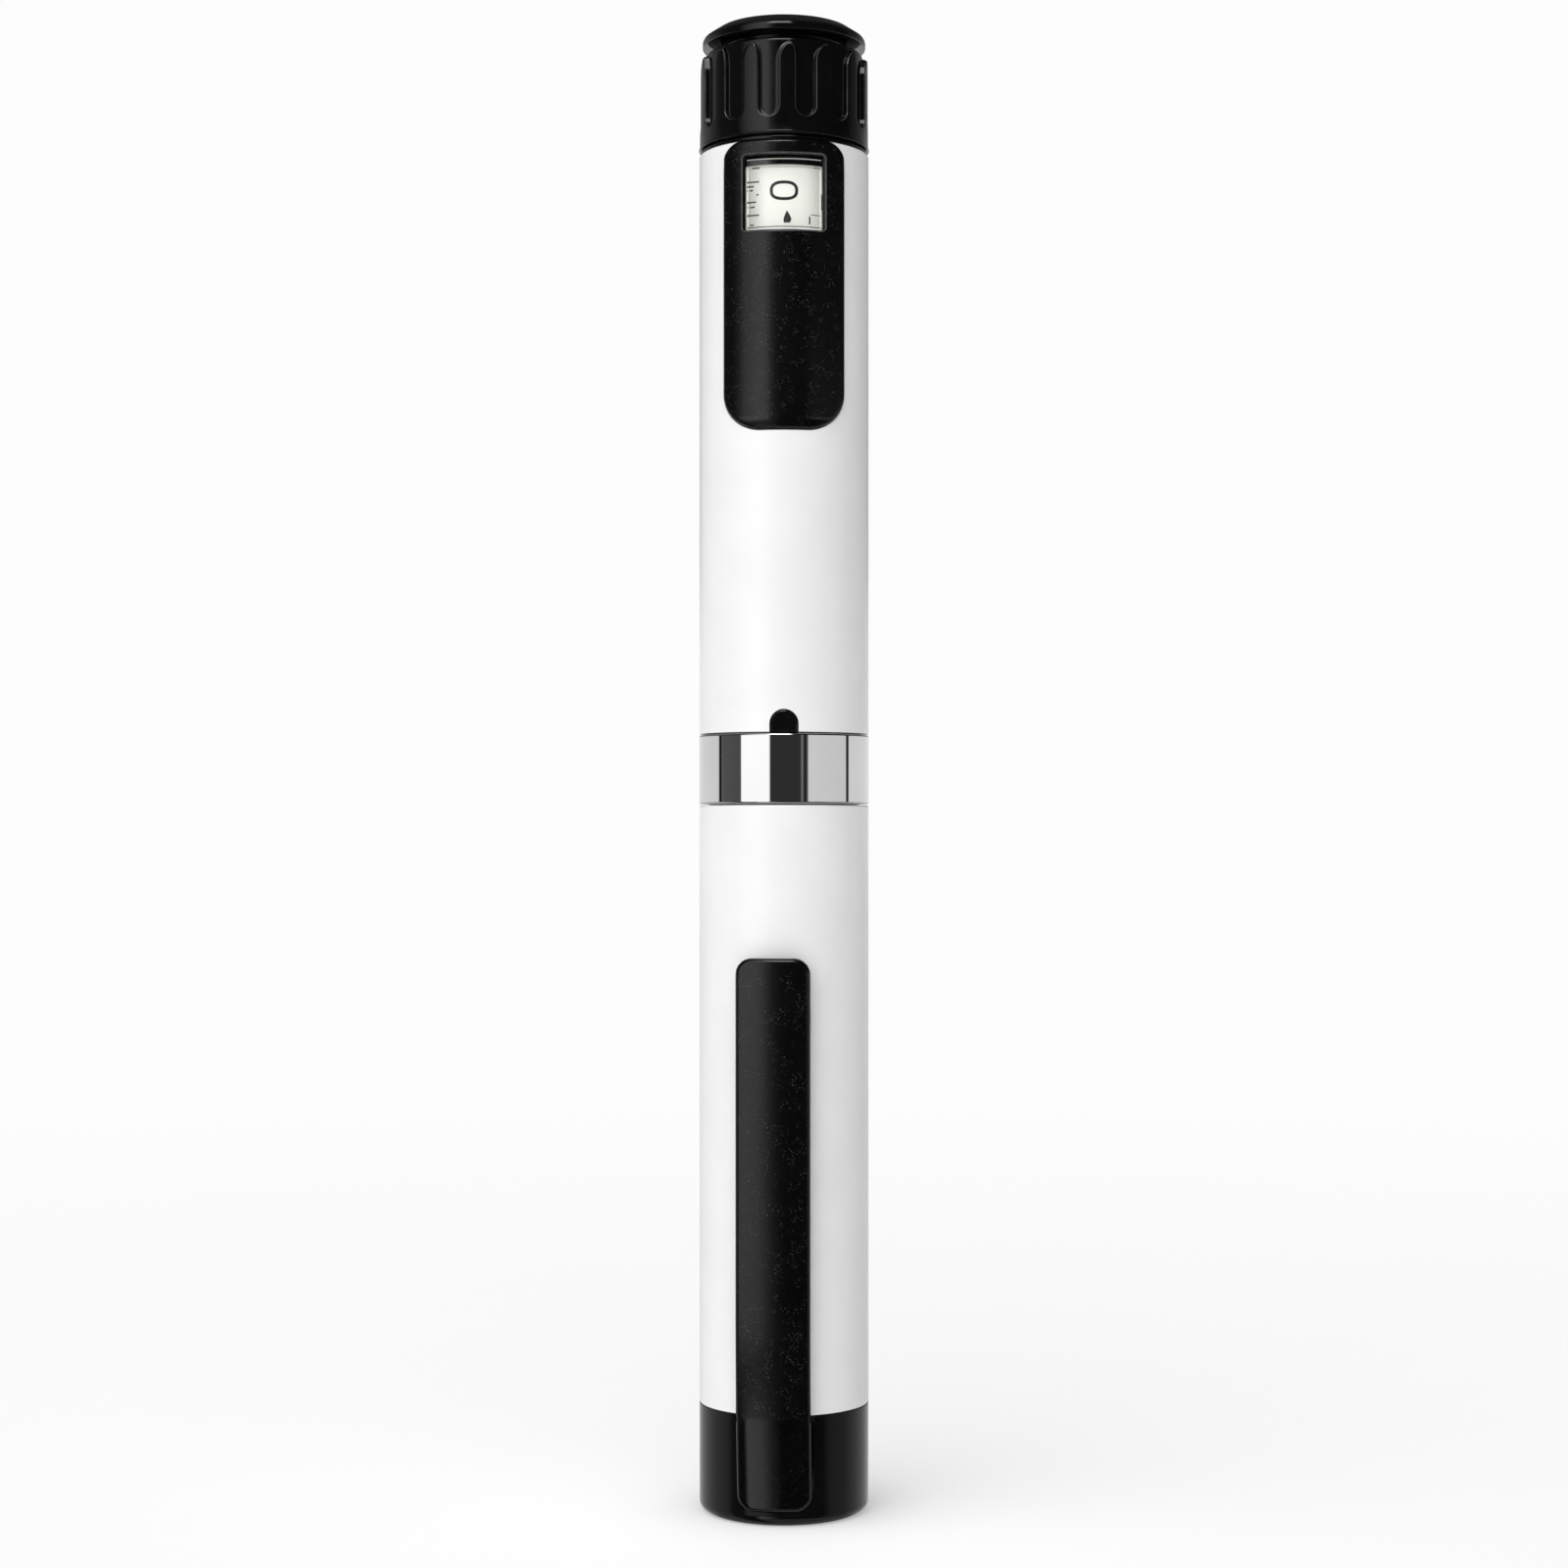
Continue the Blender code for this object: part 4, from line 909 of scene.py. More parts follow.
dress(smoothed(meshObject("front_key", tabMesh(), blackPolish), 25, False), "pen_body", "black_gloss")

brightRing = sleevePiece("bright_ring", "chrome_ring", tubeBore, (0, body["ringEdge"], body["ringEdge"], 0),
                         ringPlate, body["ringSides"], 6)
dress(brightRing, "pen_body", "bright_chrome", "chrome_ring")

bezel = {
    "half": 6.3 * mm, "topCorner": 1.9 * mm, "lowCorner": 3.85 * mm, "cornerSteps": 24,
    "slope": 1.0 * mm, "crease": 0.3, "lowProud": 0.16 * mm, "edge": 0.3 * mm, "backRadius": 8.4 * mm,
    "windowHalf": 4.05 * mm, "windowHeight": 7.4 * mm, "windowDrop": 1.85 * mm, "windowDepth": 0.6 * mm,
    "bevel": 0.4 * mm, "windowCorner": 0.35 * mm, "windowRound": 0.1 * mm,
    # Rows and columns of the mesh.
    "windowColumns": 14, "sideColumns": 4, "windowRows": 6, "lowRows": 9, "lowRow": 1.5 * mm,
    "rowGap": 0.5 * mm, "cornerRows": 4,
}
bezelLow, bezelTop = low("window_bezel").z, high("window_bezel").z
bezelRadius = -low("window_bezel").y
windowTop = bezelTop - bezel["windowDrop"]
windowLow = windowTop - bezel["windowHeight"]


def bezelFront(height):
    # Radius of the bezel's face; its lower end slopes in with a soft crease.
    share, crease = (height - bezelLow) / bezel["slope"], bezel["crease"]
    fall = bezelRadius - bodyRadius - bezel["lowProud"]
    if share >= 1 + crease:
        return bezelRadius
    if share <= 1 - crease:
        return bezelRadius - fall * (1 - share)
    return bezelRadius - fall * (1 + crease - share) ** 2 / (4 * crease)


def onCylinder(radius, angle, height):
    # Point at an angle to the right of the front.
    return Vector((radius * math.sin(angle), -radius * math.cos(angle), height))


def bezelPlace(across, height, drop, isBack):
    radius = bezel["backRadius"] + drop if isBack else bezelFront(height) - drop
    return onCylinder(radius, math.asin(across / bodyRadius), height)


def bezelPlate():
    # The bezel's outline with its window, whose sides are bevelled from the curved face.
    reach, bevel, soft = bezel["windowCorner"], bezel["bevel"], bezel["windowRound"]
    outset = bevel + 2 * soft
    half = bezel["windowHalf"] * bodyRadius / bezel["backRadius"]
    top, bottom = windowTop + outset, windowLow - outset
    corner = [reach * step / bezel["cornerRows"] for step in range(bezel["cornerRows"])]

    def spaced(start, end, count):
        # Close rows at both corners, even ones between them.
        return ([start + step for step in corner]
                + [start + reach + (end - start - 2 * reach) * step / count for step in range(count + 1)]
                + [end - step for step in reversed(corner)])

    across = spaced(-half, half, bezel["windowColumns"])
    beside = spaced(bottom, top, bezel["windowRows"])
    lowRows = [bezelLow + bezel["lowCorner"] + bezel["lowRow"] * (row + 1) for row in range(bezel["lowRows"])]
    heights = [height for height in lowRows if height < bottom - bezel["rowGap"]] + beside
    firstRow = bezel["cornerSteps"] + 1 + heights.index(bottom)

    def inset(reachIn, drop):
        # How far a loop lies inside the grid's hole, measured round the barrel's surface.
        return half - (bezel["windowHalf"] + reachIn) * bodyRadius / (bezelRadius - drop)

    # Section of the window's side: how far outside the opening, and how deep.
    outline = [(bevel + soft, 0), (bevel + 0.3 * soft, 0.1 * soft), (bevel - 0.4 * soft, 0.55 * soft),
               (soft * 0.7, bevel - 0.4 * soft), (0.15 * soft, bevel + 0.1 * soft), (0, bevel + soft),
               (0, bezelRadius - bodyRadius + bezel["windowDepth"])]
    profile = [(inset(reachIn, drop), drop, reach * (0.5 + reachIn / bevel)) for reachIn, drop in outline]
    return {
        "half": bezel["half"], "bottom": bezelLow, "top": bezelTop, "lowCorner": bezel["lowCorner"],
        "topCorner": bezel["topCorner"], "cornerSteps": bezel["cornerSteps"], "heights": heights,
        "columns": len(across) - 1 + 2 * bezel["sideColumns"],
        "edge": bezel["edge"], "edgeSteps": 6, "backInset": 0,
        "window": {
            "across": across, "sideColumns": bezel["sideColumns"],
            "rows": (firstRow, firstRow + len(beside) - 1),
            "bottom": bottom, "top": top, "cornerReach": reach, "profile": profile}}


# Painted highlight: a pale line round the window bevel's outer edge, where its rounding catches light.
rimHighlight = [(-0.1 * mm, 0), (-0.04 * mm, 1), (0.04 * mm, 1), (0.1 * mm, 0)]


def windowDistance(tree):
    # Distance outside the window bevel's round-cornered rim, from Object coordinates.
    calc = calculator(tree)
    across, _, height = addNode(tree, "ShaderNodeSeparateXYZ", {0: objectPlace(tree)}).outputs
    corner = 1.5 * bezel["windowCorner"]
    halfTall = bezel["windowHeight"] / 2
    wide = calc("SUBTRACT", calc("ABSOLUTE", across), bezel["windowHalf"] + bezel["bevel"] - corner)
    tall = calc("SUBTRACT", calc("ABSOLUTE", calc("SUBTRACT", height, windowLow + halfTall)),
                halfTall + bezel["bevel"] - corner)
    outside = calc("SQRT", calc("ADD", *(
        calc("POWER", calc("MAXIMUM", beyond, 0.0), 2.0) for beyond in (wide, tall))))
    inside = calc("MINIMUM", calc("MAXIMUM", wide, tall), 0.0)
    return calc("SUBTRACT", calc("ADD", outside, inside), corner)


wornEdges(bezelGrain, windowDistance(bezelGrain.node_tree), rimHighlight)
bezelPiece = smoothed(meshObject("dose_bezel", plateMesh(bezelPlate(), bezelPlace), bezelGrain), 35, False)
dress(bezelPiece, "pen_body", "black_grained", "window_bezel")


def slotTool():
    # Opening in the barrel for the bezel, open at the barrel's rim.
    plate = {
        "half": bezel["half"] + seam, "bottom": bezelLow - seam, "top": bezelTop + seam,
        "lowCorner": bezel["lowCorner"] + seam, "topCorner": bezel["topCorner"] + seam,
        "cornerSteps": bezel["cornerSteps"], "heights": [bezelTop - 2 * bezel["topCorner"]],
        "columns": 12, "edge": 0.02 * mm, "edgeSteps": 1, "backInset": 0}

    def place(across, height, drop, isBack):
        radius = tubeBore - slip if isBack else bezelRadius + 1 * mm
        return onCylinder(radius, math.asin(across / bodyRadius), height)

    return meshObject("slotTool", plateMesh(plate, place), whitePlastic)


def notchTool():
    outline = tabOutline(seam, barrelLow - seam)
    return meshObject("notchTool", loftedMesh([
        [(across, -depth, height) for across, height in outline]
        for depth in (bodyRadius / 2, 2 * bodyRadius)]), whitePlastic)


barrelPiece = turnedPiece("white_barrel", [
    (tubeBore, barrelLow, 0),
    (bodyRadius, barrelLow, hairEdge),
    (bodyRadius, barrelTop, body["edge"]),
    (tubeBore, barrelTop, hairEdge)], whitePlastic, skinSides)
carve(barrelPiece, slotTool(), notchTool())
dress(barrelPiece, "pen_body", "white_gloss", "barrel")

lens = {"face": bodyRadius - 0.1 * mm, "thickness": 0.6 * mm, "side": 0.12 * mm, "columns": 24}


def lensMesh():
    half = bezel["windowHalf"] - lens["side"]
    shares = [2 * column / lens["columns"] - 1 for column in range(lens["columns"] + 1)]
    return loftedMesh([
        [onCylinder(radius, order * math.asin(half / lens["face"]) * share, height)
         for radius, order in ((lens["face"], 1), (lens["face"] - lens["thickness"], -1)) for share in shares]
        for height in (windowLow + lens["side"], windowTop - lens["side"])])


lensPiece = smoothed(meshObject("dose_lens", lensMesh(), lensClear), 30)
dress(lensPiece, "pen_body", "clear_lens", "window_lens")

chassisRim, chassisLow, chassisTop = roundSize("chassis")
chassisRadius = tubeBore - slip
chassisBore = chassisRadius - body["flangeWall"]
flangeLow = barrelTop + seam
chassisPiece = turnedPiece("inner_chassis", [
    (chassisBore, chassisLow, fineEdge),
    (chassisRadius, chassisLow, fineEdge),
    (chassisRadius, flangeLow, 0),
    (chassisRim, flangeLow, body["flangeEdge"]),
    (chassisRim, chassisTop, fineEdge),
    (chassisBore, chassisTop, softEdge)], blackPolish, skinSides)
windowTool = meshObject("windowTool", loftedMesh([
    [(side * (bezel["windowHalf"] + slip), -depth, height)
     for side, height in ((-1, windowLow - slip), (1, windowLow - slip),
                          (1, windowTop + slip), (-1, windowTop + slip))]
    for depth in (0, bezelRadius)]), blackPolish)
carve(chassisPiece, windowTool)
dress(chassisPiece, "pen_body", "black_gloss", "chassis")

pegHeight = low("dose_drum").z + body["pegRise"]
threadPeg = meshObject("thread_peg", loftedMesh([
    [(across, depth, pegHeight + rise) for across, rise in circle(body["pegRadius"], body["pegSides"])]
    for depth in (chassisBore - body["pegIn"], chassisBore + body["pegOut"])]), blackPolish)
dress(smoothed(threadPeg, radial=False), "pen_body", "black_gloss")

dress(sleevePiece("cartridge_ring", "cartridge_cushion", glassBore, (softEdge, roundEdge, softEdge, softEdge),
                  stopperRubber), "pen_body", "stopper_rubber", "cartridge_cushion")
print("pen body made")


# Drive: rod and foot, threaded sleeve, its retainer and the clutch sleeve

drive = {
    "rodTip": 1.4 * mm, "tipRadius": 1.7 * mm, "flat": 2.2 * mm, "lead": 2.2 * mm, "threadDepth": 0.32 * mm,
    "rowsPerLead": 10, "sides": 48, "footChamfer": 0.5 * mm, "sleeveFlange": 1.4 * mm,
    "sleeveRadius": 4.1 * mm, "nutBore": 3.0 * mm, "relief": 0.2 * mm, "nutHeight": 6.0 * mm,
    "clutchWall": 0.9 * mm, "clutchFlange": 1.2 * mm, "clutchRadius": 5.3 * mm, "edge": 0.12 * mm,
    "grooveSlope": 2.4, "grooveShare": 0.7,
}
rodRadius, rodLow, rodTop = roundSize("plunger_rod")
rodShoulder = rodLow + drive["rodTip"]


def rodRing(height):
    # Outline of the rod at a height: a screw thread cut away by two flats.
    ring = []
    for side in range(drive["sides"]):
        angle = math.tau * side / drive["sides"]
        phase = (height / drive["lead"] - angle / math.tau) % 1
        groove = min(max(drive["grooveSlope"] * abs(2 * phase - 1) - drive["grooveShare"], 0), 1)
        radius = rodRadius - drive["threadDepth"] * groove
        across = max(-drive["flat"], min(drive["flat"], radius * math.sin(angle)))
        ring.append((radius * math.cos(angle), across, height))
    return ring


def tipRing(height):
    return [(*spot, height) for spot in circle(drive["tipRadius"], drive["sides"])]


threadLength = rodTop - rodShoulder
rodRows = round(threadLength / drive["lead"] * drive["rowsPerLead"])
rodPiece = meshObject("plunger_screw", loftedMesh([tipRing(rodLow), tipRing(rodShoulder)] + [
    rodRing(rodShoulder + threadLength * row / rodRows) for row in range(rodRows + 1)]), blackPolish)
dress(smoothed(rodPiece, 50, False), "rod", "black_gloss", "plunger_rod")

footRadius, footLow, footTop = roundSize("rod_foot")
dress(turnedPiece("pressure_foot", [
    (0, footLow),
    (footRadius, footLow, roundEdge),
    (footRadius, footTop - drive["footChamfer"], fineEdge),
    (footRadius - drive["footChamfer"], footTop, fineEdge),
    (drive["tipRadius"] + slip, footTop, fineEdge),
    (drive["tipRadius"] + slip, rodLow - slip, fineEdge),
    (0, rodLow - slip)], driveGrey), "rod", "drive_grey", "rod_foot")

sleeveRim, sleeveLow, sleeveTop = roundSize("drive_sleeve")
sleeveBore = drive["nutBore"] + drive["relief"]
dress(turnedPiece("screw_sleeve", [
    (drive["nutBore"], sleeveLow, roundEdge),
    (sleeveRim, sleeveLow, drive["edge"]),
    (sleeveRim, sleeveLow + drive["sleeveFlange"], drive["edge"]),
    (drive["sleeveRadius"], sleeveLow + drive["sleeveFlange"], roundEdge),
    (drive["sleeveRadius"], sleeveTop, drive["edge"]),
    (sleeveBore, sleeveTop, drive["edge"]),
    (sleeveBore, sleeveLow + drive["nutHeight"], fineEdge),
    (drive["nutBore"], sleeveLow + drive["nutHeight"], fineEdge)], driveGrey),
      "nut", "drive_grey", "drive_sleeve")

dress(sleevePiece("sleeve_collar", "sleeve_retainer", drive["sleeveRadius"] + slip,
                  (drive["edge"], drive["edge"], drive["edge"], roundEdge), blackPolish),
      "pen_body", "black_gloss", "sleeve_retainer")

clutchRim, clutchLow, clutchTop = roundSize("clutch_sleeve")
clutchBore = drive["clutchRadius"] - drive["clutchWall"]
dress(turnedPiece("clutch_tube", [
    (clutchBore, clutchLow, drive["edge"]),
    (drive["clutchRadius"], clutchLow, drive["edge"]),
    (drive["clutchRadius"], clutchTop - drive["clutchFlange"], roundEdge),
    (clutchRim, clutchTop - drive["clutchFlange"], drive["edge"]),
    (clutchRim, clutchTop, drive["edge"]),
    (clutchBore, clutchTop, drive["edge"])], clutchBlue), "drive", "clutch_blue", "clutch_sleeve")
print("drive made")


# Drum and its print

drum = {
    "wall": 1.1 * mm, "spigotWall": 0.45 * mm, "spigot": 2.7 * mm, "lead": 8 * mm, "sides": 144,
    "shoulderEdge": 0.12 * mm, "grooveHalf": 0.9 * mm, "grooveDepth": 0.7 * mm, "grooveSteps": 72,
    "last": 48, "shown": 2, "unitsPerTurn": 16, "printHigh": 0.012 * mm, "zeroHeight": 141.9 * mm,
    "digitLong": 3.0 * mm, "digitTall": 2.1 * mm, "digitGap": 0.35 * mm, "stroke": 0.33 * mm,
    "tickDrop": 2.6 * mm, "tickLong": 0.84 * mm, "tickWide": 0.16 * mm,
    "glow": 0.24, "glowReach": 3 * mm, "glowTone": (1, 1, 0.93, 1), "glowSpan": (0.2, 0.9),
}
unitTurn = math.tau / drum["unitsPerTurn"]
unitDrop = drum["lead"] / drum["unitsPerTurn"]
drumRadius, drumLow, drumTop = roundSize("dose_drum")
drumShoulder = drumTop - drum["spigot"]
drumBore = drumRadius - drum["wall"]


def coveredGlow(material, strength, reach):
    # Painted light: the surface glows where a lens or a frame close above it holds light back, making up for
    # that light.
    tree = material.node_tree
    shader = tree.nodes["Principled BSDF"]
    shader.inputs["Emission Color"].default_value = drum["glowTone"]
    openness = addNode(tree, "ShaderNodeAmbientOcclusion", {"Distance": reach}, samples=3).outputs["AO"]
    feed(tree, shader, Emission_Strength=spread(tree, openness, strength, 0, *drum["glowSpan"]))


coveredGlow(drumIvory, drum["glow"], drum["glowReach"])
drumPiece = turnedPiece("number_drum", [
    (drumBore, drumLow, fineEdge),
    (drumRadius, drumLow, softEdge),
    (drumRadius, drumShoulder, drum["shoulderEdge"]),
    (drumBore + drum["spigotWall"], drumShoulder, hairEdge),
    (drumBore + drum["spigotWall"], drumTop, fineEdge),
    (drumBore, drumTop, fineEdge)], drumIvory, drum["sides"])


def grooveTool():
    # Helical cutter that ends just above the chassis peg.
    start = drumLow - 2 * drum["grooveHalf"]
    end = pegHeight + drum["lead"] * drum["grooveHalf"] / drumRadius / math.tau
    steps = round((end - start) / drum["lead"] * drum["grooveSteps"])
    half, depth = drum["grooveHalf"], drumRadius - drum["grooveDepth"]
    rings = []
    for step in range(steps + 1):
        height = start + (end - start) * step / steps
        angle = math.pi / 2 + math.tau * (pegHeight - height) / drum["lead"]
        direction = Vector((math.cos(angle), math.sin(angle), 0))
        rings.append([direction * radius + Vector((0, 0, height + rise)) for radius, rise in (
            (depth, -half), (drumRadius + slip, -half), (drumRadius + slip, half), (depth, half))])
    return meshObject("grooveTool", loftedMesh(rings), drumIvory)


carve(drumPiece, grooveTool())
dress(drumPiece, "dial", "drum_cream", "dose_drum")


def arc(centre, radii, start, end, steps=10):
    # Points along an elliptical arc, angles in degrees from the right, anticlockwise.
    turns = [math.radians(start + (end - start) * step / steps) for step in range(steps + 1)]
    return [(centre[0] + radii[0] * math.cos(turn), centre[1] + radii[1] * math.sin(turn)) for turn in turns]


def hoop(steps=36, squareness=0.78):
    # Rounded box outline filling the unit square.
    turns = [math.tau * (step / steps + 0.25) for step in range(steps + 1)]
    return [tuple(0.5 + 0.5 * math.copysign(abs(value) ** squareness, value)
                  for value in (math.cos(turn), math.sin(turn))) for turn in turns]


digits = {
    "0": [hoop()],
    "1": [[(0.28, 0.78), (0.55, 0.96), (0.55, 0.04)]],
    "2": [arc((0.5, 0.68), (0.36, 0.28), 165, -35, 14) + [(0.12, 0.04), (0.88, 0.04)]],
    "3": [arc((0.48, 0.73), (0.34, 0.23), 150, -90, 14) + arc((0.48, 0.27), (0.38, 0.23), 90, -150, 14)],
    "4": [[(0.68, 0.04), (0.68, 0.96), (0.1, 0.3), (0.9, 0.3)]],
    "6": [arc((0.5, 0.31), (0.37, 0.27), 0, 360, 24), arc((0.62, 0.36), (0.5, 0.6), 175, 92, 10)],
    "8": [arc((0.5, 0.73), (0.33, 0.23), 90, 450, 24), arc((0.5, 0.28), (0.39, 0.25), 90, 450, 24)],
}


def ribbon(mesh, points, width, place, isLoop=False, tipSteps=8, sharpest=0.45):
    # Flat stroke of even width with round ends, each point put in place by a function.
    line = [Vector(point) for point in points]
    count = len(line)
    edges = []
    for index, point in enumerate(line):
        before = line[index - 1] if isLoop or index > 0 else point
        after = line[(index + 1) % count] if isLoop or index < count - 1 else point
        steps = [step.normalized() for step in (point - before, after - point) if step.length > tiny]
        along = sum(steps, Vector((0, 0))).normalized()
        side = Vector((-along.y, along.x)) * width / 2 / max(along.dot(steps[0]), sharpest)
        edges.append([mesh.verts.new(place(*(point + side))), mesh.verts.new(place(*(point - side)))])
    for index in range(count if isLoop else count - 1):
        first, second = edges[index], edges[(index + 1) % count]
        mesh.faces.new((first[0], second[0], second[1], first[1]))
    if isLoop:
        return
    for end, near, (start, finish) in ((line[0], line[1], edges[0]), (line[-1], line[-2], edges[-1][::-1])):
        outward = (end - near).normalized()
        turned = Vector((-outward.y, outward.x))
        tip = [end + width / 2 * (math.cos(turn) * outward + math.sin(turn) * turned)
               for turn in (math.pi * (step / tipSteps - 0.5) for step in range(1, tipSteps))]
        mesh.faces.new([start] + [mesh.verts.new(place(*point)) for point in tip] + [finish])


def onDrum(angle, height):
    # Maps (along, up) in metres to the drum's surface, along running round from an angle.
    radius = drumRadius + drum["printHigh"]

    def place(along, up):
        turn = angle + along / radius
        return Vector((radius * math.cos(turn), radius * math.sin(turn), height + up))

    return place


def numberPrint(mesh, value, angle, height):
    # A number turned a quarter: it reads downwards when seen from the front.
    text, place, joined = str(value), onDrum(angle, height), 0.01
    tall, wide = drum["digitLong"] - drum["stroke"], drum["digitTall"] - drum["stroke"]
    pitch = drum["digitTall"] + drum["digitGap"]
    for index, digit in enumerate(text):
        offset = (len(text) - 1) / 2 * pitch - index * pitch
        for stroke in digits[digit]:
            isLoop = (Vector(stroke[0]) - Vector(stroke[-1])).length < joined
            points = [((up - 0.5) * tall, offset - (across - 0.5) * wide)
                      for across, up in (stroke[:-1] if isLoop else stroke)]
            ribbon(mesh, points, drum["stroke"], place, isLoop)


def printPiece(name, mesh):
    # Thin ink with every face turned outwards from the axis.
    for face in mesh.faces:
        face.normal_update()
        middle = face.calc_center_median()
        if face.normal.dot(Vector((middle.x, middle.y, 0))) < 0:
            face.normal_flip()
    return meshObject(name, mesh, dialInk, False)


scale = bmesh.new()
for value in range(0, drum["last"] + 1, drum["shown"]):
    numberPrint(scale, value, -math.pi / 2 + unitTurn * value, drum["zeroHeight"] - unitDrop * value)
dress(printPiece("dose_numbers", scale), "dial", "drum_cream")


def tickTree(material):
    # One upright tick for each unit after zero, stepping round and down the drum.
    tree, groupIn, groupOut = ruleTree("unitTicks", {
        "Count": 48, "Radius": 7 * mm, "Step": 0.4, "Drop": 0.5 * mm, "Height": 139 * mm,
        "Long": 0.8 * mm, "Wide": 0.2 * mm})
    calc = calculator(tree)
    sizes = groupIn.outputs
    tick = addNode(tree, "GeometryNodeMeshGrid", {
        "Size X": sizes["Long"], "Size Y": sizes["Wide"], "Vertices X": 2, "Vertices Y": 2})
    upright = addNode(tree, "GeometryNodeTransform", {
        "Geometry": tick.outputs["Mesh"], "Rotation": (0, math.pi / 2, 0)})
    points, index = countedPoints(tree, sizes["Count"])
    unit = calc("ADD", index, 1)
    angle = calc("SUBTRACT", calc("MULTIPLY", unit, sizes["Step"]), math.pi / 2)
    spot = addNode(tree, "ShaderNodeCombineXYZ", {
        "X": calc("MULTIPLY", sizes["Radius"], calc("COSINE", angle)),
        "Y": calc("MULTIPLY", sizes["Radius"], calc("SINE", angle)),
        "Z": calc("SUBTRACT", sizes["Height"], calc("MULTIPLY", unit, sizes["Drop"]))})
    placed = addNode(tree, "GeometryNodeSetPosition", {"Geometry": points, "Position": spot.outputs[0]})
    copies = turnedCopies(tree, placed.outputs[0], upright.outputs[0], angle)
    finishTree(tree, copies, material, groupOut)
    return tree


ticks = ruleObject("unit_ticks", tickTree(dialInk), {
    "Count": drum["last"], "Radius": drumRadius + drum["printHigh"], "Step": unitTurn,
    "Drop": unitDrop, "Height": drum["zeroHeight"] - drum["tickDrop"],
    "Long": drum["tickLong"], "Wide": drum["tickWide"]})
dress(ticks, "dial", "drum_cream")
print("drum made")


# Window marks, printed on the lens's inner face, in millimetres

marks = {
    "stroke": 0.18, "thin": 0.08, "sunk": 0.01, "dot": (141.2, -2.8, -2.7),
    # Height, start and end of each line.
    "leftLines": [
        (144.02, -3.25, -2.6), (142.56, -3.62, -2.65), (140.42, -3.72, -2.95), (139.03, -3.7, -2.65),
        (142.09, -3.6, -3.2), (141.68, -3.5, -3.3), (139.9, -3.5, -3.1), (138.0, -3.45, -3.2)],
    "rightLines": [(144.05, 3.1, 3.65), (139.05, 2.8, 3.75)],
    "pointer": [
        (0.29, 139.47), (0.62, 138.95), (0.78, 138.5), (0.6, 138.15), (-0.03, 138.15), (-0.05, 138.6)],
}


def onLens(across, height):
    # Maps millimetres across and up to the lens's inner face.
    radius = lens["face"] - lens["thickness"] - marks["sunk"] * mm
    across, height = across * mm, height * mm
    return Vector((across, -math.sqrt(radius ** 2 - across ** 2), height))


def windowMarks():
    mesh = bmesh.new()
    for lines, width in (
            (marks["leftLines"], marks["stroke"]), (marks["rightLines"], marks["thin"]),
            ([marks["dot"]], marks["stroke"])):
        for height, start, end in lines:
            ribbon(mesh, [(start, height), (end, height)], width, onLens)
    mesh.faces.new([mesh.verts.new(onLens(*corner)) for corner in marks["pointer"]])
    return mesh


dress(printPiece("window_marks", windowMarks()), "pen_body", "clear_lens")
print("window marks made")


# Knob: one fluted sector, repeated round the head

knob = {
    "flutes": 14, "depth": 0.6 * mm, "width": 2.3 * mm, "start": 1.9 * mm, "turn": math.radians(-10.7),
    "wallRun": 0.1 * mm, "edge": 0.15 * mm, "foot": 0.6, "archHeight": 1.95 * mm, "archDrop": 0.47 * mm,
    "point": 1.6, "crown": 0.35 * mm, "lean": 0.4 * mm, "shoulder": 0.26 * mm,
    "stemRadius": 6.7 * mm, "headGap": 0.18 * mm, "neckLap": 0.3 * mm, "wellDrop": 1.1 * mm,
    "roundSteps": 10, "straightRows": 3, "neckSides": 128,
    # Lip at the head's foot, beyond the land: below its height, then above it.
    "lipHeight": 0.16 * mm, "lipFlare": 0.1 * mm,
    "lipLow": [(0, 0.02 * mm), (0.07 * mm, 0.05 * mm), (0.1 * mm, 0.1 * mm)],
    "lipHigh": [(0.1 * mm, 0), (0.06 * mm, 0.05 * mm), (0.01 * mm, 0.1 * mm), (0, 0.16 * mm)],
}
knobRadius, knobBase, knobTop = roundSize("dose_knob")
headBase = chassisTop + knob["headGap"]
landRadius = knobRadius - knob["lipFlare"]
floorRadius = landRadius - knob["depth"]
wellRadius = knob["stemRadius"] + slip


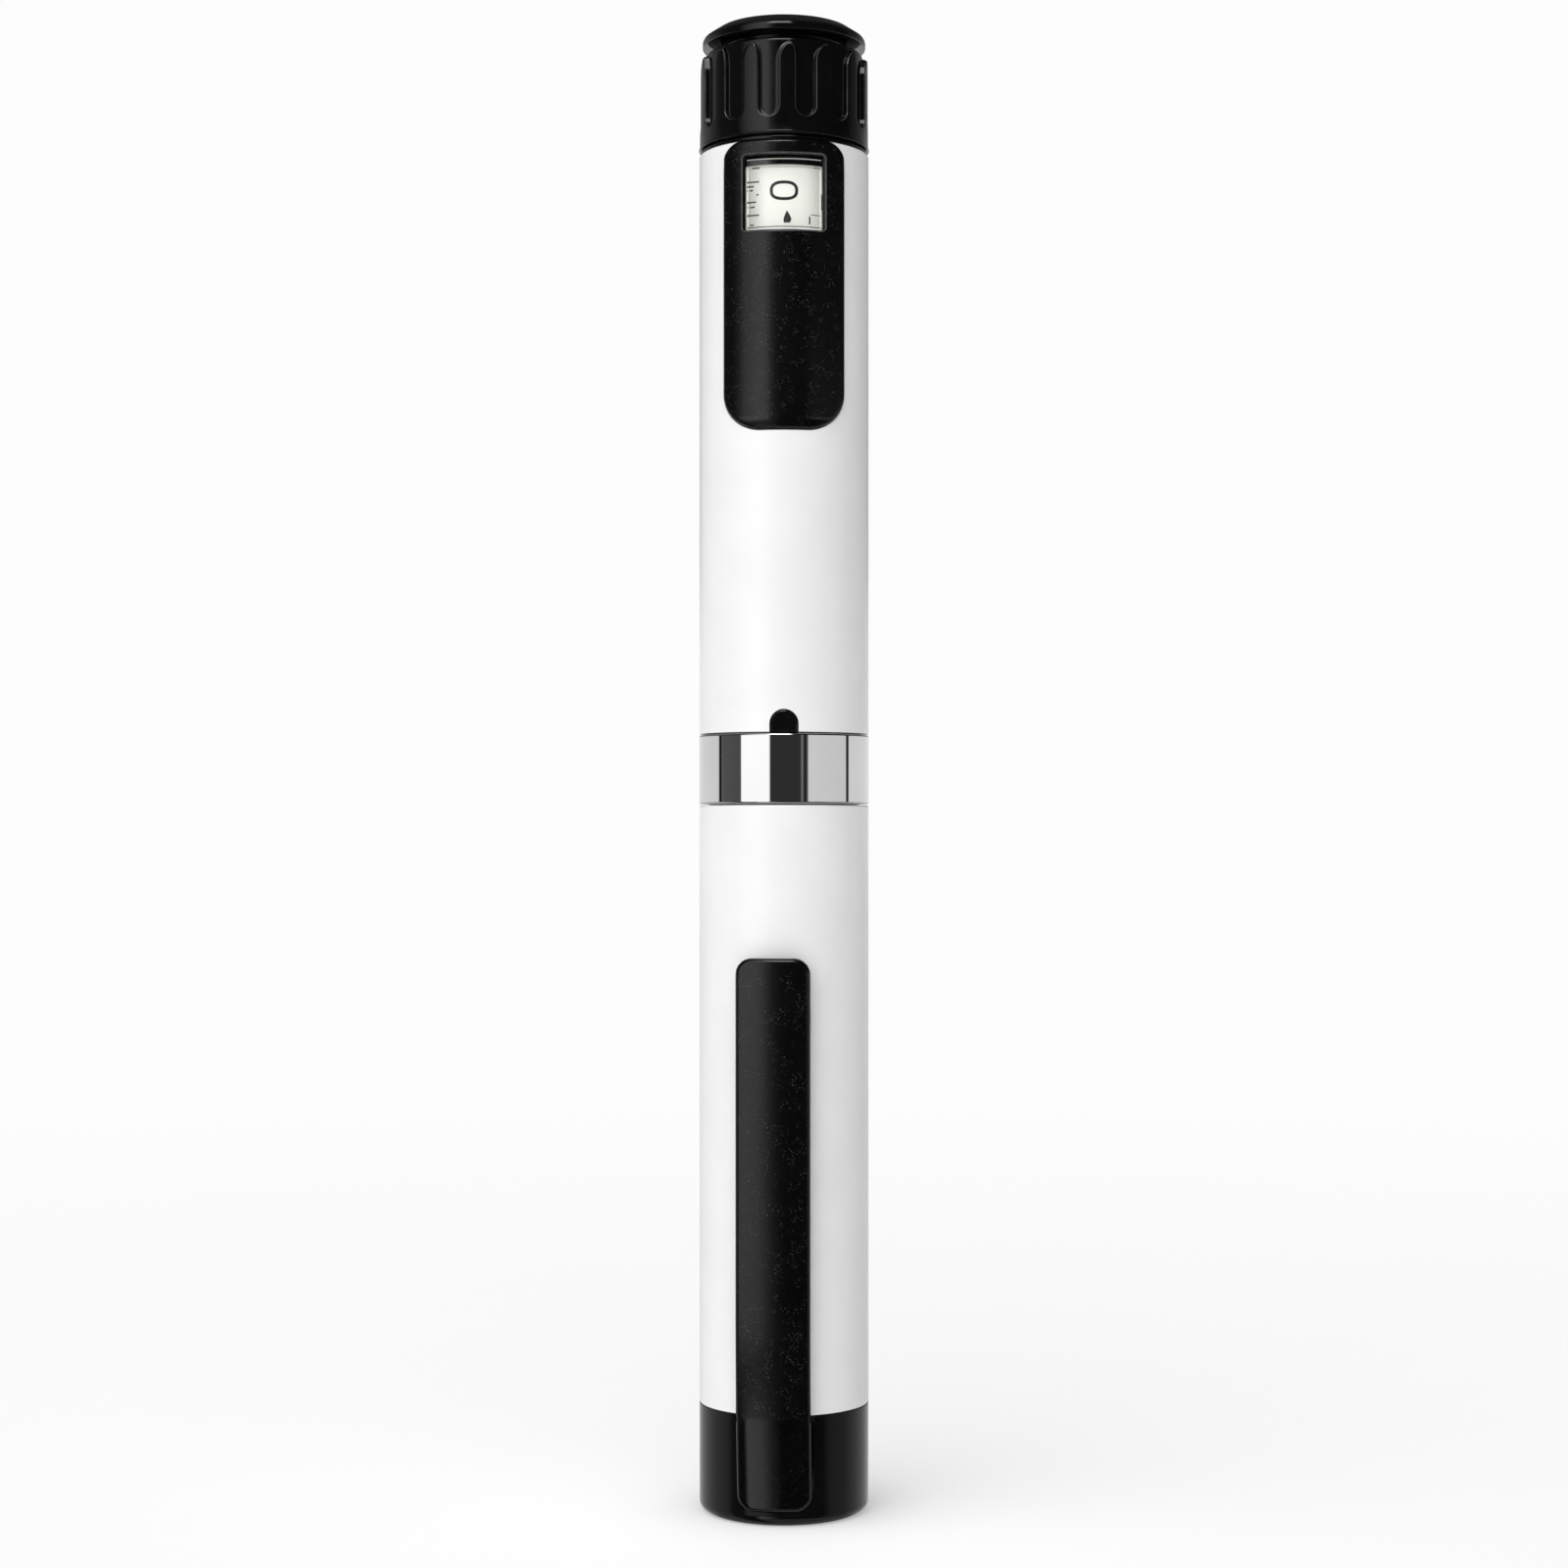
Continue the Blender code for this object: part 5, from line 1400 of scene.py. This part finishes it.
def sectorMesh():
    # One pitch of the knob's head, from one flute's middle to the next, about angle 0.
    halfPitch = math.pi * landRadius / knob["flutes"]
    fluteHalf = knob["width"] / 2
    landHalf = halfPitch - fluteHalf
    edge, run = knob["edge"], knob["wallRun"]
    # Each curve: how far outside the land's outline it lies, and its radius.
    curves = [(edge * (math.sin(turn) - 1), landRadius - edge * (1 - math.cos(turn)))
              for turn in quarterTurns(3)]
    foot = knob["foot"] * edge
    curves += [(run + foot * (1 - math.cos(turn)), floorRadius + foot * (1 - math.sin(turn)))
               for turn in quarterTurns(2)]
    landShares, floorShares = (0, 0.35, 0.7), (0.3, 0.65, 1)
    landEdge, sharpest = curves[0][0], 0.0004
    archLow = knobTop - knob["archDrop"] - knob["archHeight"]
    roundMiddle = headBase + knob["start"] + fluteHalf
    mesh = bmesh.new()

    def vertex(across, height, radius):
        # The lands lean to one side in their arches and round over to the flutes' depth in the crown.
        arched = min(max((height - archLow) / knob["archHeight"], 0), 1)
        across += knob["lean"] * arched ** 2 * (1 - (across / halfPitch) ** 2)
        angle = across / landRadius
        rise = (height - knobTop + knob["archDrop"] + knob["crown"]) / knob["crown"]
        if radius > floorRadius and rise > 0:
            radius = floorRadius + (radius - floorRadius) * math.sqrt(max(1 - min(rise, 1) ** 2, sharpest))
        return mesh.verts.new((radius * math.cos(angle), radius * math.sin(angle), height))

    def bothHalves(right):
        left = [vertex(-across, height, radius) for across, height, radius in right]
        return left[::-1] + [vertex(*spot) for spot in right]

    def sheet(lower, upper, seamed=True):
        # Faces between two rows; a seamed row holds both halves, whose middle stays open.
        for column in range(len(lower) - 1):
            if not (seamed and column == len(lower) // 2 - 1):
                mesh.faces.new((lower[column], lower[column + 1], upper[column + 1], upper[column]))

    rows = []
    # Round lower end of the flutes, seen from the flute's middle.
    for turn in quarterTurns(knob["roundSteps"])[:0:-1]:
        outer = fluteHalf - landEdge
        beside, under = halfPitch - outer * math.cos(turn), roundMiddle - outer * math.sin(turn)
        right = [(share * beside, under, landRadius) for share in landShares]
        for off, radius in curves:
            reach = fluteHalf - off
            right.append((halfPitch - reach * math.cos(turn), roundMiddle - reach * math.sin(turn), radius))
        right += [(halfPitch - reach * math.cos(turn) * (1 - share), right[-1][1], floorRadius)
                  for share in floorShares]
        rows.append(bothHalves(right))
    # Straight stretch, then the pointed arch over the land.
    spans = [(roundMiddle + (archLow - roundMiddle) * step / knob["straightRows"], 0)
             for step in range(knob["straightRows"] + 1)]
    spans += [(archLow, turn) for turn in quarterTurns(knob["roundSteps"])[1:]]
    for height, turn in spans:
        width, rise = math.cos(turn) ** knob["point"], math.sin(turn)
        right = [(share * (landHalf + landEdge) * width,
                  height + (knob["archHeight"] + landEdge) * rise, landRadius) for share in landShares]
        right += [((landHalf + off) * width, height + (knob["archHeight"] + off) * rise, radius)
                  for off, radius in curves]
        last = right[-1]
        right += [(last[0] + share * (halfPitch - last[0]), last[1], floorRadius) for share in floorShares]
        rows.append(bothHalves(right))
    for lower, upper in zip(rows, rows[1:]):
        sheet(lower, upper)
    # Plain band under the flutes with the lip, drawn from the land's columns.
    below = [(landRadius + out, base + up)
             for base, part in ((headBase, "lipLow"), (headBase + knob["lipHeight"], "lipHigh"))
             for out, up in knob[part]] + [(landRadius, headBase + knob["start"] - 2 * edge)]
    landSpots = [share * halfPitch for share in landShares + (1,)]
    half = len(rows[0]) // 2
    edgeRow = rows[0][half - len(landSpots):half + len(landSpots)]
    for across, vert in zip([-spot for spot in landSpots[::-1]] + landSpots, edgeRow):
        angle = across / landRadius
        vert.co = (landRadius * math.cos(angle), landRadius * math.sin(angle), vert.co.z)
    band = [bothHalves([(across, height, radius) for across in landSpots]) for radius, height in below]
    for lower, upper in zip(band, band[1:] + [edgeRow]):
        sheet(lower, upper)
    # Shoulder over the arches, top face, wall of the button's well and underside.
    shoulder = knob["shoulder"]
    top = [(floorRadius - shoulder * (1 - math.cos(turn)), knobTop - shoulder * (1 - math.sin(turn)))
           for turn in quarterTurns(4)]
    top += [(wellRadius + fineEdge, knobTop), (wellRadius, knobTop - fineEdge),
            (wellRadius, below[0][1]), below[0]]
    floorSpots = [share * halfPitch for share in (0,) + floorShares]
    for sign, columns in ((1, rows[-1][-len(floorSpots):]), (-1, rows[-1][:len(floorSpots)][::-1])):
        previous = columns
        for radius, height in top:
            row = [vertex(sign * across, height, radius) for across in floorSpots]
            sheet(previous, row, False)
            previous = row
    return mesh


def repeatTree(material):
    # Copies the mesh round Z and welds the seams.
    tree, groupIn, groupOut = ruleTree("fluteRing", {"Count": 14, "Turn": 0, "Weld": 0.002 * mm})
    calc = calculator(tree)
    sizes = groupIn.outputs
    points, index = countedPoints(tree, sizes["Count"])
    step = calc("DIVIDE", math.tau, sizes["Count"])
    angle = calc("ADD", calc("MULTIPLY", index, step), sizes["Turn"])
    real = addNode(tree, "GeometryNodeRealizeInstances", {
        "Geometry": turnedCopies(tree, points, sizes["Geometry"], angle)})
    welded = addNode(tree, "GeometryNodeMergeByDistance", {
        "Geometry": real.outputs[0], "Distance": sizes["Weld"]})
    finishTree(tree, welded.outputs[0], material, groupOut)
    return tree


def flatDistance(tree):
    # Distance from the pen's axis, from Object coordinates.
    flat = addNode(tree, "ShaderNodeVectorMath", {
        0: objectPlace(tree), 1: (1, 1, 0)}, operation="MULTIPLY").outputs[0]
    return lengthOf(tree, flat)


# Painted highlight: pale lines along the lands' rounded edges and, fainter, along the flutes' floors by their
# walls, standing in for light those roundings catch.
fluteHighlight = [
    (floorRadius + 0.01 * mm, 0), (floorRadius + 0.05 * mm, 0.5), (floorRadius + 0.1 * mm, 0),
    (landRadius - 0.17 * mm, 0), (landRadius - 0.07 * mm, 1), (landRadius - 0.01 * mm, 0)]
wornEdges(knobPolish, flatDistance(knobPolish.node_tree), fluteHighlight)
knobHead = ruleObject("fluted_head", repeatTree(knobPolish), {
    "Count": knob["flutes"], "Turn": knob["turn"] - math.pi / 2 + math.pi / knob["flutes"]},
    meshObject("fluted_head", sectorMesh(), knobPolish, False))


def cleaned(item):
    shell = bmesh.new()
    shell.from_mesh(item.data)
    closed(shell)
    shell.to_mesh(item.data)
    shell.free()
    return item


smoothed(cleaned(knobHead), 30, False)
dress(knobHead, "dial", "black_gloss", "dose_knob")

wellFloor = low("injection_button").z - knob["wellDrop"]
wellOutside = wellRadius + knob["neckLap"]
socketRadius = drumBore + drum["spigotWall"] + slip
knobNeck = turnedPiece("knob_neck", [
    (socketRadius, knobBase, hairEdge),
    (drumRadius, knobBase, hairEdge),
    (drumRadius, headBase + knob["neckLap"], 0),
    (wellOutside, headBase + knob["neckLap"], 0),
    (wellOutside, wellFloor, 0),
    (drumBore, wellFloor, fineEdge),
    (drumBore, drumTop + slip, fineEdge),
    (socketRadius, drumTop + slip, fineEdge)], blackPolish, knob["neckSides"])
dress(knobNeck, "dial", "black_gloss")

button = {
    "side": 0.84 * mm, "height": 1.94 * mm, "bevel": 1.65 * mm, "fillet": 0.5 * mm, "roof": 0.8 * mm,
    "stemWall": 1.6 * mm, "lowEdge": 0.12 * mm, "turnIn": 0.6 * mm,
}
buttonRadius, stemBase, buttonTop = roundSize("injection_button")
buttonBase = buttonTop - button["height"]
stemRadius = knob["stemRadius"]
stemBore = stemRadius - button["stemWall"]
buttonPiece = turnedPiece("push_button", [
    (0, buttonTop),
    (0, buttonTop - button["roof"]),
    (stemBore, buttonTop - button["roof"], roundEdge),
    (stemBore, stemBase, fineEdge),
    (stemRadius, stemBase, fineEdge),
    (stemRadius, buttonBase, softEdge),
    (buttonRadius, buttonBase, button["lowEdge"]),
    (buttonRadius, buttonBase + button["side"], button["turnIn"]),
    (buttonRadius - button["bevel"], buttonTop, button["fillet"])], blackPolish, skinSides, 6)
dress(buttonPiece, "button", "black_gloss", "injection_button")

spring = {"wire": 0.3 * mm, "turns": 5, "gap": 0.02 * mm, "turnSteps": 40, "wireSides": 10}
springRadius, springLow, springTop = roundSize("button_spring")
springTree = coilTree("coilSpring", springWire, spring["turnSteps"], spring["wireSides"])
coil = ruleObject("return_spring", springTree, {
    "Radius": springRadius - spring["wire"] - spring["gap"], "Turns": spring["turns"],
    "Wire": spring["wire"], "Base": springLow + spring["wire"],
    "Height": springTop - springLow - 2 * spring["wire"]})
dress(smoothed(coil, 60, False), "drive", "spring_steel", "button_spring")
print("knob and button made")


# Camera, floor and studio light

studio = {
    "distance": 315 * mm, "eyeHeight": 73.5 * mm, "focal": 66.4, "sensor": 36, "shiftY": 0.03125,
    "white": 0.98, "scale": 2.0,
    "keyAround": math.radians(-26), "keyUp": math.radians(25), "keyPower": 2.5, "keyLight": 2.22,
    "fillLight": 0.02,
    "floorSize": 3.0, "floorDrop": 0.02 * mm, "floorClear": 0.16, "floorFar": 0.5,
    "floorAlbedo": (0.796, 0.804), "floorPatch": 0.05, "floorGlow": 0.556,
    # Painted contact shadow: where and how deeply the floor's glow is darkened near the pen's foot.
    "paintedShadowStart": 8 * mm, "paintedShadowReach": 3.2 * mm, "paintedShadowDepth": 0.37, "paintedShadowMost": 0.9,
    "overheadLight": 4.5, "overheadTurn": math.radians(6),
}
# Brightness that polished faces mirror, by angle round the pen from the camera, right positive.
mirrored = {
    "ring": [
        (-180, 0.965), (-99, 0.93), (-98, 0.0), (-93.4, 0.0), (-92.6, 0.2), (-90, 0.12), (-60.4, 0.1),
        (-59.6, 1.55), (-19.8, 1.55), (-19, 0.04), (22.4, 0.04), (23.2, 0.25), (25.1, 0.25), (25.9, 0.03),
        (32, 0.03), (32.8, 0.93), (92.4, 0.86), (93, 0.0), (97, 0.0), (97.8, 0.95), (180, 0.965)],
    "above": [
        (-180, 0.36), (-150, 0.32), (-124, 0.3), (-106, 0.18), (-98, 0.06), (-66, 0.03), (-56, 0.45),
        (-44, 0.85), (-30, 1.1), (-23, 1.0), (-18, 0.3), (-10, 0.02), (98, 0.02), (106, 0.1), (124, 0.18),
        (150, 0.32), (180, 0.36)],
    "below": [
        (-180, 0.8), (-150, 0.7), (-124, 0.56), (-104, 0.42), (-88, 0.34), (-80, 0.26), (-74, 0.05),
        (-56, 0.03), (-50, 0.95), (-36, 1.0), (-24, 0.8), (-15, 0.25), (-6, 0.02), (54, 0.02), (64, 0.2),
        (90, 0.26), (104, 0.4), (124, 0.58), (150, 0.72), (180, 0.8)],
}
# A ramp goes from nothing to full on one coordinate: "up" is the direction's rise, "around" its angle
# in degrees from the camera, right positive, "aside" that angle's size and "turned" the size of the
# angle from the lamp overhead.
aboveRing = [("up", 0.07, 0.09)]
belowRing = [("up", -0.01, -0.03)]
overhead = [("up", 0.4, 0.45), ("up", 0.9, 0.85), ("turned", 19.584, 15)]
# Patches laid over the strips in turn: brightness, then the ramps that bound them.
patches = [
    # The floor, straight up, and high up behind.
    (0.38, [("up", -0.56, -0.64)]),
    (0.14, [("up", 0.85, 0.95)]),
    (0.06, [("aside", 97.403, 120.321), ("up", 0.3, 0.4)]),
    # The gap under the ring's strips, and low on the left.
    (0.03, [("aside", 66, 60), ("up", -0.36, -0.32), ("up", -0.222, -0.232)]),
    (0.03, [("up", -0.32, -0.36), ("around", -36.854, -40.292), ("around", -77.73, -72)]),
]


def strips(tree, share, stops):
    # Brightness from a list of (degrees, value), for an angle mapped to 0..1.
    scale = studio["scale"]
    colour = ramped(tree, share, [((degrees + 180) / 360, (value / scale,) * 3) for degrees, value in stops])
    grey = addNode(tree, "ShaderNodeSeparateColor", {0: colour}).outputs[0]
    return calculator(tree)("MULTIPLY", grey, scale)


def covered(tree, places, ramps):
    # How fully a patch covers a direction.
    cover = 1.0
    for name, nothing, full in ramps:
        if name != "up":
            nothing, full = math.radians(nothing), math.radians(full)
        cover = calculator(tree)("MULTIPLY", cover, spread(tree, places[name], 0, 1, nothing, full))
    return cover


def studioWorld():
    # White backdrop to the camera, soft key from the left on what is matt, cards in what is polished.
    world = bpy.data.worlds.new("studio")
    world.use_nodes = True
    tree = world.node_tree
    calc = calculator(tree)
    direction = addNode(tree, "ShaderNodeTexCoord").outputs["Generated"]
    across, depth, up = addNode(tree, "ShaderNodeSeparateXYZ", {0: direction}).outputs
    around = calc("ARCTAN2", across, calc("MULTIPLY", depth, -1.0))
    places = {"up": up, "around": around, "aside": calc("ABSOLUTE", around),
              "turned": calc("ABSOLUTE", calc("ADD", around, studio["overheadTurn"]))}
    share = calc("ADD", calc("DIVIDE", around, math.tau), 0.5)
    ring, above, below = (strips(tree, share, mirrored[name]) for name in ("ring", "above", "below"))
    polished = between(tree, covered(tree, places, aboveRing), ring, above)
    polished = between(tree, covered(tree, places, belowRing), polished, below)
    for tone, ramps in patches:
        polished = between(tree, covered(tree, places, ramps), polished, tone)
    lamp = calc("MULTIPLY", covered(tree, places, overhead), studio["overheadLight"])
    polished = calc("ADD", polished, lamp)
    level = math.cos(studio["keyUp"])
    key = Vector((level * math.sin(studio["keyAround"]), -level * math.cos(studio["keyAround"]),
                  math.sin(studio["keyUp"])))
    towards = addNode(tree, "ShaderNodeVectorMath", {0: direction, 1: key}, operation="DOT_PRODUCT")
    lobe = calc("POWER", calc("MAXIMUM", towards.outputs["Value"], 0.0), studio["keyPower"])
    matt = calc("ADD", calc("MULTIPLY", lobe, studio["keyLight"]), studio["fillLight"])
    path = addNode(tree, "ShaderNodeLightPath").outputs
    seen = between(tree, path["Is Glossy Ray"], studio["white"], polished)
    seen = between(tree, path["Is Diffuse Ray"], seen, matt)
    background = tree.nodes["Background"]
    background.inputs["Color"].default_value = (1, 1, 1, 1)
    tree.links.new(seen, background.inputs["Strength"])
    world.cycles.sampling_method = "NONE"
    return world


def floorMaterial():
    # White table: its lit part takes real soft shadow near the pen, and its glow there is darkened by a
    # painted contact shadow; plain backdrop white further off.
    material, tree, shader, place = principled("floorWhite", Roughness=1.0, Specular_IOR_Level=0.0)
    shader.inputs["Emission Color"].default_value = (1, 1, 1, 1)
    calc = calculator(tree)
    distance = lengthOf(tree, place)
    # Painted shadow: the glow fades towards the pen's foot.
    away = calc("DIVIDE", calc("SUBTRACT", studio["paintedShadowStart"], distance), studio["paintedShadowReach"])
    paintedShadow = calc("MINIMUM", calc("MULTIPLY", calc("EXPONENT", away), studio["paintedShadowDepth"]),
                 studio["paintedShadowMost"])
    dark, pale = ([tone] * 3 for tone in studio["floorAlbedo"])
    feed(tree, shader, Base_Color=tint(tree, noise(tree, place, studio["floorPatch"]), dark, pale),
         Emission_Strength=calc("MULTIPLY", calc("SUBTRACT", 1.0, paintedShadow), studio["floorGlow"]))
    far = spread(tree, distance, 0, 1, studio["floorClear"], studio["floorFar"], "SMOOTHSTEP")
    surface(tree, far, shader, addNode(tree, "ShaderNodeEmission", {"Strength": studio["white"]}))
    return material


def makeFloor():
    mesh = bmesh.new()
    half = studio["floorSize"]
    mesh.faces.new([mesh.verts.new((across, depth, -studio["floorDrop"])) for across, depth in (
        (-half, -half), (half, -half), (half, half), (-half, half))])
    item = meshObject("floor", mesh, floorMaterial(), False)
    item.visible_glossy = False


def makeCamera():
    data = bpy.data.cameras.new("camera")
    data.lens, data.sensor_width, data.shift_y = studio["focal"], studio["sensor"], studio["shiftY"]
    camera = bpy.data.objects.new("camera", data)
    camera.location = (0, -studio["distance"], studio["eyeHeight"])
    camera.rotation_euler = (math.pi / 2, 0, 0)
    bpy.context.scene.collection.objects.link(camera)
    bpy.context.scene.camera = camera


bpy.context.scene.world = studioWorld()
bpy.context.scene.view_settings.view_transform = "Standard"
makeFloor()
makeCamera()
print("stage made")
